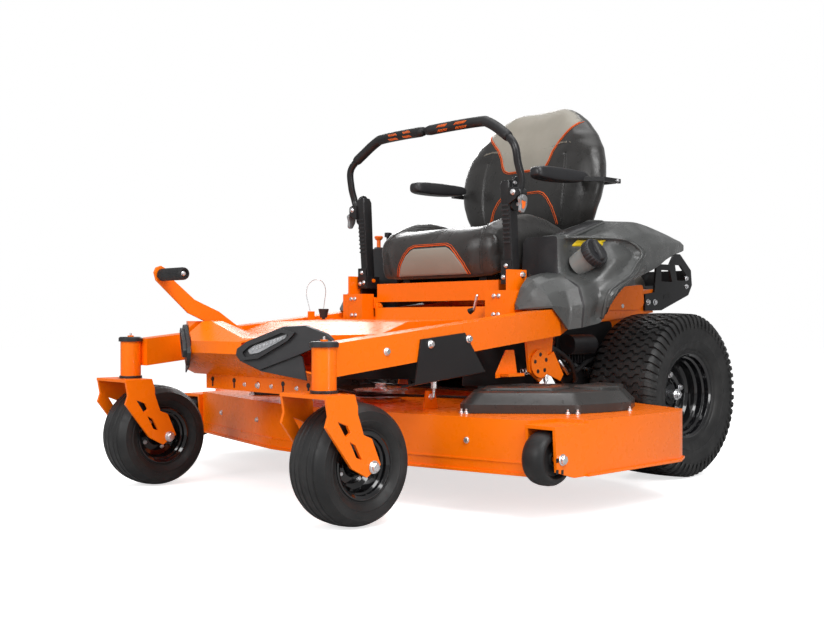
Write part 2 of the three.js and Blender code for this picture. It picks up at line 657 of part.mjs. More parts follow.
function inset(points, distance) {
  const area = points.reduce((sum, [x, y], i) => {
    const [nx, ny] = points[(i + 1) % points.length];
    return sum + x * ny - nx * y;
  }, 0);
  const turn = Math.sign(area);
  return points.map(([x, y], i) => {
    const [px, py] = points[(i + points.length - 1) % points.length];
    const [nx, ny] = points[(i + 1) % points.length];
    const a = Math.hypot(x - px, y - py);
    const b = Math.hypot(nx - x, ny - y);
    const [ux, uy] = [(-(y - py) / a) * turn, ((x - px) / a) * turn];
    const [vx, vy] = [(-(ny - y) / b) * turn, ((nx - x) / b) * turn];
    const scale = distance / (1 + ux * vx + uy * vy);
    return [x + (ux + vx) * scale, y + (uy + vy) * scale];
  });
}

// Bracket plates for an anti-scalp wheel that hangs on the front wall.
function wheelBracket() {
  const outer = prism('x', [[-411, 228], [-289, 228], [-289, 108], [-340, 108], [-404, 126]], 779, 787);
  const inner = prism('x', [[-411, 228], [-300, 228], [-340, 120], [-404, 130]], 697, 705);
  const roof = box(697, 787, -411, -288, 222, 230);
  const bolt = rod('x', 8, 700, 787, [WHEEL_OUTER.y, WHEEL_OUTER.z], 10);
  return join(outer, inner, roof, bolt);
}

function innerBracket() {
  const { x, y, z } = WHEEL_INNER;
  const cheek = prism('x', [[-505, 232], [-600, 232], [-604, 140], [-570, 138], [-505, 195]], x + 34, x + 40);
  const opposite = cheek.clone().translate(-74, 0, 0);
  const roof = box(x - 40, x + 40, -600, -505, 226, 232);
  const bolt = rod('x', 8, x - 44, x + 44, [y, z], 10);
  return join(cheek, closed(opposite), roof, bolt);
}

function deckShell() {
  const { top, bottom, wall, chuteFront, chuteRear } = DECK;
  const body = prism('z', DECK_PLAN, bottom, top);
  const inside = prism('z', inset(DECK_PLAN, wall), bottom - 10, top - wall);
  const lip = cut(
    prism('z', inset(DECK_PLAN, -DECK.lip), bottom, bottom + 6),
    prism('z', inset(DECK_PLAN, 1), bottom - 5, bottom + 12),
  );
  const chuteHole = box(-820, -770, chuteFront, chuteRear, bottom - 10, top - 20);
  const lipHole = box(-820, -770, chuteFront, chuteRear, bottom - 10, bottom + 12);
  const bores = SPINDLES.map(({ x, y }) => rod('z', 22, top - 20, top + 60, [x, y]));
  const collars = SPINDLES.map(({ x, y }) => rod('z', 60, top - 2, top + 8, [x, y]));
  const brackets = [wheelBracket(), mirrored(wheelBracket()), innerBracket()];
  const knuckle = (from, to) => join(
    rod('y', 8, from, to, [CHUTE_HINGE.x, CHUTE_HINGE.z], 10),
    box(CHUTE_HINGE.x, -DECK.half + 3, from, to, CHUTE_HINGE.z - 5, CHUTE_HINGE.z + 5),
  );
  const hinge = knuckle(chuteFront - 14, chuteFront - 1);
  const hingeRear = knuckle(chuteRear - 3, chuteRear + 10);
  const shell = cut(join(body, lip, ...collars), inside, chuteHole, lipHole, ...bores);
  return join(shell, ...brackets, hinge, hingeRear);
}

function guideWheel() {
  const { radius, width } = GUIDE_WHEEL;
  const half = width / 2;
  return turned('x', [
    [8.6, -half], [radius - 12, -half], [radius, -half + 14], [radius, half - 14], [radius - 12, half], [8.6, half],
  ], 20);
}

function beltCover() {
  const base = DECK.top + GAP;
  const outline = (grow, z) => [
    [345 - grow, -160, z], [400, -225 - grow, z], [600, -225 - grow, z], [700 + grow, -130, z],
    [700 + grow, 60, z], [620, 150 + grow, z], [400, 150 + grow, z], [345 - grow, 90, z],
  ];
  const dome = hull([...outline(0, base), ...outline(0, base + 16), ...outline(-42, base + 52)]);
  const hollow = hull([...outline(-6, base - 5), ...outline(-6, base + 14), ...outline(-46, base + 46)]);
  const beltSlot = box(300, 430, -240, 80, base - 5, base + 36);
  return cut(dome, hollow, beltSlot);
}

function spindle({ x, y }) {
  const shaft = rod('z', 14, 128, BELT_Z + 22, [x, y], 12);
  const pulley = turned('z', [
    [0, BELT_Z - 9], [PULLEY_RADIUS + 8, BELT_Z - 9], [PULLEY_RADIUS, BELT_Z - 4],
    [PULLEY_RADIUS, BELT_Z + 4], [PULLEY_RADIUS + 8, BELT_Z + 9], [0, BELT_Z + 9],
  ], 20).translate(x, y, 0);
  return join(shaft, pulley);
}

function blade({ x, y }) {
  const r = BLADE_RADIUS;
  const bar = prism('z', [[-r, -30], [r, -30], [r, 30], [-r, 30]], 120, 126);
  const sail = hull([
    [r - 90, 20, 121], [r, 20, 121], [r - 90, 30, 126], [r, 30, 126], [r - 80, 34, 146], [r, 34, 146],
    [r - 80, 31, 146], [r, 31, 146],
  ]);
  const other = closed(sail.clone().rotateZ(Math.PI));
  return cut(join(bar, sail, other), rod('z', 14.4, 110, 140, [0, 0], 12)).translate(x, y, 0);
}

function deckBelt() {
  const loop = (radius) => hull(SPINDLES.flatMap(({ x, y }) =>
    polygon(radius, x, y, 16).flatMap(([u, v]) => [[u, v, BELT_Z - 3.5], [u, v, BELT_Z + 3.5]])));
  const inner = hull(SPINDLES.flatMap(({ x, y }) =>
    polygon(PULLEY_RADIUS + 0.6, x, y, 32).flatMap(([u, v]) => [[u, v, BELT_Z - 9], [u, v, BELT_Z + 9]])));
  return cut(loop(PULLEY_RADIUS + 7), inner);
}

// Side discharge deflector, hinged along the top of the opening.
function chute() {
  const reach = -CHUTE_REACH;
  const front = DECK.chuteFront + 2;
  const rear = DECK.chuteRear - 6;
  const { x, z } = CHUTE_HINGE;
  const roof = strip([[reach, 112], [reach + 60, 172], [x - 12, z]], 5);
  const panel = prism('y', roof, front, rear);
  const cheekOutline = [[reach + 3, 112], [reach + 61, 169], [x - 12, 223], [x - 12, 132]];
  const cheek = prism('y', cheekOutline, front, front + 5);
  const rearCheek = closed(cheek.clone().translate(0, rear - front - 5, 0));
  const barrel = rod('y', 8, front, rear, [x, z], 10);
  const leaf = box(x - 16, x, front, rear, z - 4, z + 4);
  return join(panel, cheek, rearCheek, barrel, leaf);
}

function addDeck() {
  add('deck_shell', deckShell(), ORANGE);
  for (const side of SIDES) {
    const sign = signOf(side);
    add(`belt_cover_${side}`, onSide(beltCover(), side), BLACK_PLASTIC);
    add(`guide_wheel_outer_${side}`, guideWheel(), RUBBER, [sign * WHEEL_OUTER.x, WHEEL_OUTER.y, WHEEL_OUTER.z]);
  }
  add('guide_wheel_inner', guideWheel(), RUBBER, [WHEEL_INNER.x, WHEEL_INNER.y, WHEEL_INNER.z]);
  for (const place of SPINDLES) {
    add(`spindle_${place.name}`, spindle(place), STEEL);
    add(`blade_${place.name}`, blade(place), STEEL);
  }
  add('deck_belt', deckBelt(), RUBBER);
  add('chute_deflector', chute(), BLACK_PLASTIC);
}

// ---------------------------------------------------------------- deck lift
function liftPedal() {
  const { x, thickness, pivotY, pivotZ } = PEDAL;
  const outline = [
    [-872, 598], [-866, 577], [-770, 492], [-690, 458], [-650, 440], [-580, 388], [-545, 388], [-538, 418],
    [-620, 462], [-672, 496], [-750, 528], [-828, 590], [-836, 608], [-852, 616], [-866, 611],
  ];
  const arm = prism('x', outline, x - thickness / 2, x + thickness / 2);
  const pivot = rod('x', 11, x - 31, x + 31, [pivotY, pivotZ], 12);
  return join(arm, pivot);
}

function pedalPeg() {
  const start = PEDAL.x + PEDAL.thickness / 2 + GAP;
  return rod('x', 13, start, start + 112, [-850, 592], 16);
}

function hocPin() {
  const shank = rod('z', 6, 440, 482, [PIN.x, PIN.y], 10);
  const knob = hull([
    ...polygon(11, PIN.x, PIN.y, 12).map(([x, y]) => [x, y, 480]),
    ...polygon(17, PIN.x, PIN.y, 12).map(([x, y]) => [x, y, 508]),
  ]);
  return join(shank, knob);
}

// Springy steel wire from the bracket tab up and over to the knob of the height pin.
function lanyard() {
  return tube([
    [-352, -222, 501], [-356, -224, 520], [-362, -228, 550], [-360, -226, 578], [-350, -215, 596],
    [-338, -200, 600], [-330, -186, 590], [-328, -178, 565], [-333, -178, 535], [-336, -180, 509],
  ], 1, 20, 8);
}

function addLift() {
  add('lift_pedal', liftPedal(), ORANGE);
  add('pedal_peg', pedalPeg(), BLACK_PLASTIC);
  add('height_pin', hocPin(), BLACK_PLASTIC);
  add('pin_lanyard', lanyard(), STEEL);
}

// ---------------------------------------------------------------- operator panel
function addPanel() {
  const { z } = PANEL;
  const [keyX, keyY] = PANEL.key;
  const [switchX, switchY] = PANEL.switch;
  const [leverX, leverY] = PANEL.throttle;
  add('ignition_key', join(rod('z', 9, z, z + 6, [keyX, keyY], 12),
    box(keyX - 2, keyX + 2, keyY - 8, keyY + 8, z + 5, z + 24)), STEEL);
  add('blade_switch_knob', join(rod('z', 7, z, z + 28, [switchX, switchY], 12),
    rod('z', 15, z + 26, z + 42, [switchX, switchY], 16)), ORANGE);
  add('throttle_lever', join(box(leverX - 3, leverX + 3, leverY - 6, leverY + 6, z + 4, z + 42),
    box(leverX - 8, leverX + 8, leverY - 10, leverY + 10, z + 40, z + 56)), BLACK_PLASTIC);
}

addFrame();
addRunningGear();
addSeat();
addControls();
addBody();
addEngine();
addDeck();
addLift();
addPanel();

export default mower;
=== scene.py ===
"""Zero turn mower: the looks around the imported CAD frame. Blender 4.5.

Lengths inside the builders are millimetres from the machine's centre plane: +X is the machine's
left, it faces -Y, and the ground is Z = 0. `at` turns them into the frame's metres.
"""

import math

import bmesh
import bpy
from mathutils import Matrix, Vector
from mathutils.bvhtree import BVHTree
from mathutils.kdtree import KDTree


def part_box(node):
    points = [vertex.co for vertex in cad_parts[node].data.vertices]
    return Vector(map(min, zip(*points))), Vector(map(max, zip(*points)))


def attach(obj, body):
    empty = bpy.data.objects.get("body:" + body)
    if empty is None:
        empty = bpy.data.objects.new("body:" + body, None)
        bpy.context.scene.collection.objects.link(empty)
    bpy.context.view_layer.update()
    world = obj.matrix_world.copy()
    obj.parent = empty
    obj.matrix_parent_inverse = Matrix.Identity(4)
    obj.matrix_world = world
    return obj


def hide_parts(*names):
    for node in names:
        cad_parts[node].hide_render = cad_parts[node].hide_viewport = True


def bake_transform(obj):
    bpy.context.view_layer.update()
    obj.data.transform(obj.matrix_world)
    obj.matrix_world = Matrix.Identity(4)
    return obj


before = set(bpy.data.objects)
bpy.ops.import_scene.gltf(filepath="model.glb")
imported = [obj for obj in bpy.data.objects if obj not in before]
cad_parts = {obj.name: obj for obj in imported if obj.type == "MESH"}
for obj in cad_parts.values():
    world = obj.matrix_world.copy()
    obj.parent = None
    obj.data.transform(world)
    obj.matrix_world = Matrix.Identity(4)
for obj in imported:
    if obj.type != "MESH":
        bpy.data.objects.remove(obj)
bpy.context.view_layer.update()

# ------------------------------------------------------------------ driving values
MM = 0.001
CENTRE_X = (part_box("rear_rim_left")[0][0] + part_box("rear_rim_right")[1][0]) / 2
CENTRE = Vector((CENTRE_X, 0, 0))
SIDES = {"left": 1, "right": -1}
CASTER = {"x": 437.5, "axle_y": -724, "spindle_y": -799, "radius": 143, "fork": 84}
REAR = {"x": 471, "y": 500, "radius": 247}
RAIL = {"top": 425.5, "slope": 0.107}
DECK_TOP = 238
SCALP = {"x": 742, "y": -385, "z": 154}
SCALP_INNER = (190, -586)
BLADE_Z = 120
SPINDLES = {"left": (495, -38), "center": (0, -238), "right": (-495, -38)}
LEVER = {"x": 311, "y": -12, "pivot_z": 600, "lean": 21, "top": 870}
BAR_PIVOT = (347, -31, 830)
CAP = {"x": 478, "y": 140, "z": 660}
PEDAL = {"x": -183, "pivot_y": -560, "pivot_z": 405, "peg_y": -850, "peg_z": 592}
LIFT_SHAFT = (-5, 352)
ARM_PIN = (461, 908)
MUFFLER = (808, 588)
ENGINE = {"y": 640, "plate_z": 520}
BELT_Z = 262
PULLEY_RADIUS = 70


def at(x, y, z):
    return Vector((x * MM + CENTRE_X, y * MM, z * MM))


def rail_top(y):
    return RAIL["top"] + RAIL["slope"] * (y - CASTER["axle_y"])


# ------------------------------------------------------------------ camera, light, floor
CAMERA_AT = (2.4382, -2.3217, 0.4747)
CAMERA_AZIMUTH = 46.58
CAMERA_ELEVATION = 0.17
LENS = 47.04
SHIFT_Y = 0.0164
AMBIENT = 0.4
LIT_POINT = (0.1, 0, 0.5)
# Where each soft box hangs, its width and height, and its power.
LIGHTS = {
    "key": ((3.0, -1.6, 3.4), (2.2, 2.2), 120),
    "front": ((0.2, -4.0, 1.9), (2.6, 1.4), 66),
    "rim": ((-2.8, 2.4, 2.4), (2.0, 1.4), 70),
    "top": ((0.0, 0.4, 3.8), (2.8, 2.8), 48),
    "strip": ((3.3, -0.5, 1.1), (0.35, 2.0), 20),
}
FLOOR_REACH = 14
FLOOR_GLOW = 0.67
FLOOR_SHADE = (0.42, 0.88)


def add_camera():
    data = bpy.data.cameras.new("camera")
    data.lens = LENS
    data.shift_y = SHIFT_Y
    camera = bpy.data.objects.new("camera", data)
    camera.location = CAMERA_AT
    camera.rotation_euler = (math.radians(90 - CAMERA_ELEVATION), 0, math.radians(CAMERA_AZIMUTH))
    bpy.context.scene.collection.objects.link(camera)
    bpy.context.scene.camera = camera


def camera_level(tree, others, camera):
    """A number that camera rays see differently from all other rays."""
    paths = tree.nodes.new("ShaderNodeLightPath")
    level = tree.nodes.new("ShaderNodeMapRange")
    level.inputs["To Min"].default_value = others
    level.inputs["To Max"].default_value = camera
    tree.links.new(paths.outputs["Is Camera Ray"], level.inputs["Value"])
    return level.outputs["Result"]


def add_studio():
    """White surround, dimmer as a light than it looks, with soft boxes above and to the sides."""
    world = bpy.data.worlds.new("studio")
    world.use_nodes = True
    sky = world.node_tree.nodes["Background"]
    sky.inputs["Color"].default_value = (1, 1, 1, 1)
    world.node_tree.links.new(camera_level(world.node_tree, AMBIENT, 1.0), sky.inputs["Strength"])
    bpy.context.scene.world = world
    bpy.context.scene.view_settings.view_transform = "Standard"
    for name, (place, size, power) in LIGHTS.items():
        data = bpy.data.lights.new(name, "AREA")
        data.shape = "RECTANGLE"
        data.size, data.size_y = size
        data.energy = power
        light = bpy.data.objects.new(name, data)
        light.location = place
        light.rotation_euler = (Vector(LIT_POINT) - Vector(place)).to_track_quat("-Z", "Y").to_euler()
        bpy.context.scene.collection.objects.link(light)


def add_floor():
    mesh = bpy.data.meshes.new("floor")
    corners = [(x * FLOOR_REACH, y * FLOOR_REACH, 0) for x, y in ((-1, -1), (1, -1), (1, 1), (-1, 1))]
    mesh.from_pydata(corners, [], [(0, 1, 2, 3)])
    floor = bpy.data.objects.new("floor", mesh)
    bpy.context.scene.collection.objects.link(floor)
    floor.location.z = -0.0005
    surface = bpy.data.materials.new("floor")
    surface.use_nodes = True
    tree = surface.node_tree
    shader = tree.nodes["Principled BSDF"]
    shader.inputs["Roughness"].default_value = 0.9
    shader.inputs["Emission Color"].default_value = (1, 1, 1, 1)
    tree.links.new(camera_level(tree, 0.0, FLOOR_GLOW), shader.inputs["Emission Strength"])
    tree.links.new(camera_level(tree, *FLOOR_SHADE), shader.inputs["Base Color"])
    mesh.materials.append(surface)


add_camera()
add_studio()
add_floor()


# ------------------------------------------------------------------ materials
class Surface:
    """A Principled material built from short calls."""

    def __init__(self, name, base, roughness, metallic=0.0, **sockets):
        self.material = bpy.data.materials.new(name)
        self.material.use_nodes = True
        self.tree = self.material.node_tree
        self.shader = self.tree.nodes["Principled BSDF"]
        self.base = base
        self.coordinates = self.tree.nodes.new("ShaderNodeTexCoord").outputs["Object"]
        self.shader.inputs["Base Color"].default_value = (*base, 1)
        self.shader.inputs["Roughness"].default_value = roughness
        self.shader.inputs["Metallic"].default_value = metallic
        for label, value in sockets.items():
            self.shader.inputs[label.replace("_", " ")].default_value = value

    def node(self, kind, **values):
        made = self.tree.nodes.new("ShaderNode" + kind)
        for label, value in values.items():
            if label in made.inputs:
                made.inputs[label].default_value = value
            else:
                setattr(made, label, value)
        return made

    def link(self, output, target):
        self.tree.links.new(output, target)

    def noise(self, scale, detail=4, stretch=None):
        made = self.node("TexNoise", Scale=scale, Detail=detail)
        source = self.coordinates
        if stretch:
            mapping = self.node("Mapping", Scale=stretch)
            self.link(source, mapping.inputs["Vector"])
            source = mapping.outputs["Vector"]
        self.link(source, made.inputs["Vector"])
        return made.outputs["Fac"]

    def cells(self, scale, feature="DISTANCE_TO_EDGE"):
        made = self.node("TexVoronoi", Scale=scale, feature=feature)
        self.link(self.coordinates, made.inputs["Vector"])
        return made.outputs["Distance"]

    def ramp(self, source, low, high, start, end):
        made = self.node("MapRange")
        for label, value in zip(("From Min", "From Max", "To Min", "To Max"), (start, end, low, high)):
            made.inputs[label].default_value = value
        self.link(source, made.inputs["Value"])
        return made.outputs["Result"]

    def tint(self, factor, other):
        """Mixes the colour so far with another one, by a factor socket."""
        mix = self.node("Mix", data_type="RGBA")
        self.link(factor, mix.inputs["Factor"])
        socket = self.shader.inputs["Base Color"]
        if socket.is_linked:
            self.link(socket.links[0].from_socket, mix.inputs[6])
        else:
            mix.inputs[6].default_value = (*self.base, 1)
        mix.inputs[7].default_value = (*other, 1)
        self.link(mix.outputs[2], socket)
        return self

    def rough(self, source, low, high, start=0.35, end=0.65):
        self.link(self.ramp(source, low, high, start, end), self.shader.inputs["Roughness"])
        return self

    def bump(self, source, strength, distance=0.001):
        made = self.node("Bump", Strength=strength, Distance=distance)
        self.link(source, made.inputs["Height"])
        socket = self.shader.inputs["Normal"]
        if socket.is_linked:
            self.link(socket.links[0].from_socket, made.inputs["Normal"])
        self.link(made.outputs["Normal"], socket)
        return self


def powder_coat(name, base, shade, roughness, coat):
    """Sprayed enamel: faint orange peel and slow colour drift."""
    made = Surface(name, base, roughness, Coat_Weight=coat, Coat_Roughness=0.08, Specular_IOR_Level=0.3)
    made.tint(made.ramp(made.noise(5), 0.0, 0.15, 0.42, 0.75), shade)
    made.rough(made.noise(38), roughness - 0.02, roughness + 0.03)
    made.bump(made.noise(420, 2), 0.03, 0.0003)
    return made.material


def moulded(name, base, light, roughness, grain=900):
    """Moulded plastic with a spark-eroded grain and slight scuffing."""
    made = Surface(name, base, roughness)
    made.tint(made.ramp(made.noise(9), 0.0, 0.5, 0.45, 0.8), light)
    made.rough(made.noise(30), roughness - 0.06, roughness + 0.08)
    made.bump(made.cells(grain), 0.16, 0.0003)
    return made.material


def rubber(name, base, dust, roughness):
    made = Surface(name, base, roughness, Specular_IOR_Level=0.35)
    made.tint(made.ramp(made.noise(14, 8), 0.0, 0.75, 0.42, 0.72), dust)
    made.rough(made.noise(60), roughness - 0.08, roughness + 0.08)
    made.bump(made.noise(700, 5), 0.14, 0.0004)
    return made.material


def bare_metal(name, base, stain, roughness, stretch=(1, 1, 60)):
    made = Surface(name, base, roughness, 1.0)
    made.tint(made.ramp(made.noise(22, 6), 0.0, 0.5, 0.5, 0.8), stain)
    made.rough(made.noise(90, 4, stretch), roughness - 0.08, roughness + 0.12)
    made.bump(made.noise(260, 3, stretch), 0.06, 0.0003)
    return made.material


def cast(name, base, stain, roughness):
    made = Surface(name, base, roughness, 0.85)
    made.tint(made.ramp(made.noise(16, 8), 0.0, 0.6, 0.45, 0.7), stain)
    made.rough(made.noise(45), roughness - 0.08, roughness + 0.12)
    made.bump(made.noise(520, 6), 0.35, 0.0006)
    return made.material


def vinyl(name, base, worn, roughness):
    """Embossed upholstery vinyl: small irregular pebbles over soft creasing."""
    made = Surface(name, base, roughness, Sheen_Weight=0.12, Sheen_Roughness=0.5)
    made.tint(made.ramp(made.noise(7, 5), 0.0, 0.5, 0.45, 0.75), worn)
    made.rough(made.noise(24), roughness - 0.07, roughness + 0.1)
    made.bump(made.noise(18, 2), 0.05, 0.002)
    made.bump(made.cells(360), 0.3, 0.0006)
    return made.material


def woven(name, base, worn, roughness):
    """Tightly woven fabric: two crossed sets of fine ribs."""
    made = Surface(name, base, roughness, Sheen_Weight=0.3, Sheen_Roughness=0.45)
    made.tint(made.ramp(made.noise(11, 6), 0.0, 0.6, 0.42, 0.75), worn)
    for direction in ("X", "Z"):
        weave = made.node("TexWave", Scale=190, bands_direction=direction, Distortion=0.6)
        made.link(made.coordinates, weave.inputs["Vector"])
        made.bump(weave.outputs["Fac"], 0.16, 0.0005)
    return made.material


def lens(name, base, roughness, transmission):
    made = Surface(name, base, roughness, Transmission_Weight=transmission, Coat_Weight=0.4)
    ribs = made.node("TexWave", Scale=120, bands_direction="Z")
    made.link(made.coordinates, ribs.inputs["Vector"])
    made.bump(ribs.outputs["Fac"], 0.2, 0.0006)
    made.tint(made.ramp(made.noise(30), 0.0, 0.3, 0.4, 0.8), tuple(value * 0.7 for value in base))
    return made.material


ORANGE = powder_coat("orange_paint", (0.98, 0.178, 0.001), (0.88, 0.15, 0.0008), 0.28, 0.08)
BLACK = powder_coat("black_paint", (0.012, 0.012, 0.013), (0.03, 0.03, 0.031), 0.38, 0.2)
GLOSS_BLACK = powder_coat("black_gloss_rim", (0.006, 0.006, 0.007), (0.015, 0.015, 0.016), 0.1, 0.8)
GREY = moulded("grey_plastic", (0.058, 0.06, 0.059), (0.074, 0.076, 0.075), 0.3)
DARK = moulded("black_plastic", (0.016, 0.016, 0.018), (0.03, 0.03, 0.032), 0.42)
COVER = moulded("cover_plastic", (0.03, 0.029, 0.028), (0.046, 0.044, 0.043), 0.32)
TYRE = rubber("tyre_rubber", (0.013, 0.013, 0.0135), (0.03, 0.0295, 0.029), 0.5)
# Dark rubber for hoses, the belt and the peg; also the painted shade put inside holes and slots.
HOSE_AND_HOLE_SHADE = rubber("hose_rubber_and_hole_shade", (0.012, 0.012, 0.013), (0.03, 0.03, 0.03), 0.5)
CHUTE = rubber("chute_rubber", (0.014, 0.014, 0.015), (0.035, 0.034, 0.033), 0.7)
STEEL = bare_metal("steel", (0.62, 0.63, 0.65), (0.4, 0.4, 0.41), 0.28)
ZINC = bare_metal("zinc_plate", (0.8, 0.8, 0.82), (0.6, 0.58, 0.52), 0.3, (1, 1, 1))
ALLOY = cast("cast_alloy", (0.42, 0.43, 0.44), (0.2, 0.2, 0.2), 0.45)
PUMP = cast("pump_casting", (0.06, 0.061, 0.064), (0.03, 0.03, 0.03), 0.5)
HOT_STEEL = bare_metal("muffler_steel", (0.34, 0.31, 0.28), (0.2, 0.13, 0.09), 0.45, (1, 1, 8))
VINYL = vinyl("seat_vinyl", (0.018, 0.017, 0.016), (0.03, 0.028, 0.027), 0.3)
INSERT = woven("seat_insert", (0.25, 0.23, 0.19), (0.33, 0.3, 0.255), 0.5)
PIPING = rubber("orange_piping", (0.75, 0.11, 0.01), (0.6, 0.08, 0.01), 0.5)
ORANGE_PLASTIC = moulded("orange_plastic", (0.95, 0.16, 0.006), (0.8, 0.12, 0.0), 0.35)
LAMP = lens("lamp_lens", (0.8, 0.82, 0.85), 0.1, 0.6)
NECK = lens("tank_neck", (0.26, 0.26, 0.25), 0.3, 0.15)
YELLOW = moulded("yellow_label", (0.85, 0.6, 0.01), (0.9, 0.7, 0.05), 0.4)


# ------------------------------------------------------------------ mesh building
AXES = {
    "x": lambda u, v, w: (w, u, v),
    "y": lambda u, v, w: (u, w, v),
    "z": lambda u, v, w: (u, v, w),
}


def circle(radius, cx=0.0, cy=0.0, sides=24, turn=0.0):
    return [(cx + radius * math.cos(turn + math.tau * i / sides),
             cy + radius * math.sin(turn + math.tau * i / sides)) for i in range(sides)]


def rounded(points, radius, steps=4):
    """An outline with each corner replaced by an arc-like curve of up to this radius."""
    result = []
    count = len(points)
    for i, corner in enumerate(points):
        here = Vector(corner)
        before = Vector(points[i - 1]) - here
        after = Vector(points[(i + 1) % count]) - here
        reach = min(radius, before.length * 0.45, after.length * 0.45)
        start = here + before.normalized() * reach
        end = here + after.normalized() * reach
        for step in range(steps + 1):
            t = step / steps
            result.append(tuple(start * (1 - t) ** 2 + here * 2 * t * (1 - t) + end * t ** 2))
    return result


def span(sign, near, far):
    """Two distances from the centre plane as ordered places on one side of it."""
    return sorted((sign * near, sign * far))


def grown(points, middle, scale):
    """An outline scaled about a point."""
    return [(middle[0] + (u - middle[0]) * scale, middle[1] + (v - middle[1]) * scale) for u, v in points]


def smooth_path(points, steps=6):
    """Catmull-Rom points through the given ones."""
    knots = [Vector(p) for p in points]
    knots = [knots[0] * 2 - knots[1], *knots, knots[-1] * 2 - knots[-2]]
    result = []
    for a, b, c, d in zip(knots, knots[1:], knots[2:], knots[3:]):
        for step in range(steps):
            t = step / steps
            result.append(((b * 2) + (c - a) * t + (a * 2 - b * 5 + c * 4 - d) * t * t
                           + (b * 3 - a - c * 3 + d) * t ** 3) / 2)
    result.append(knots[-2])
    return result


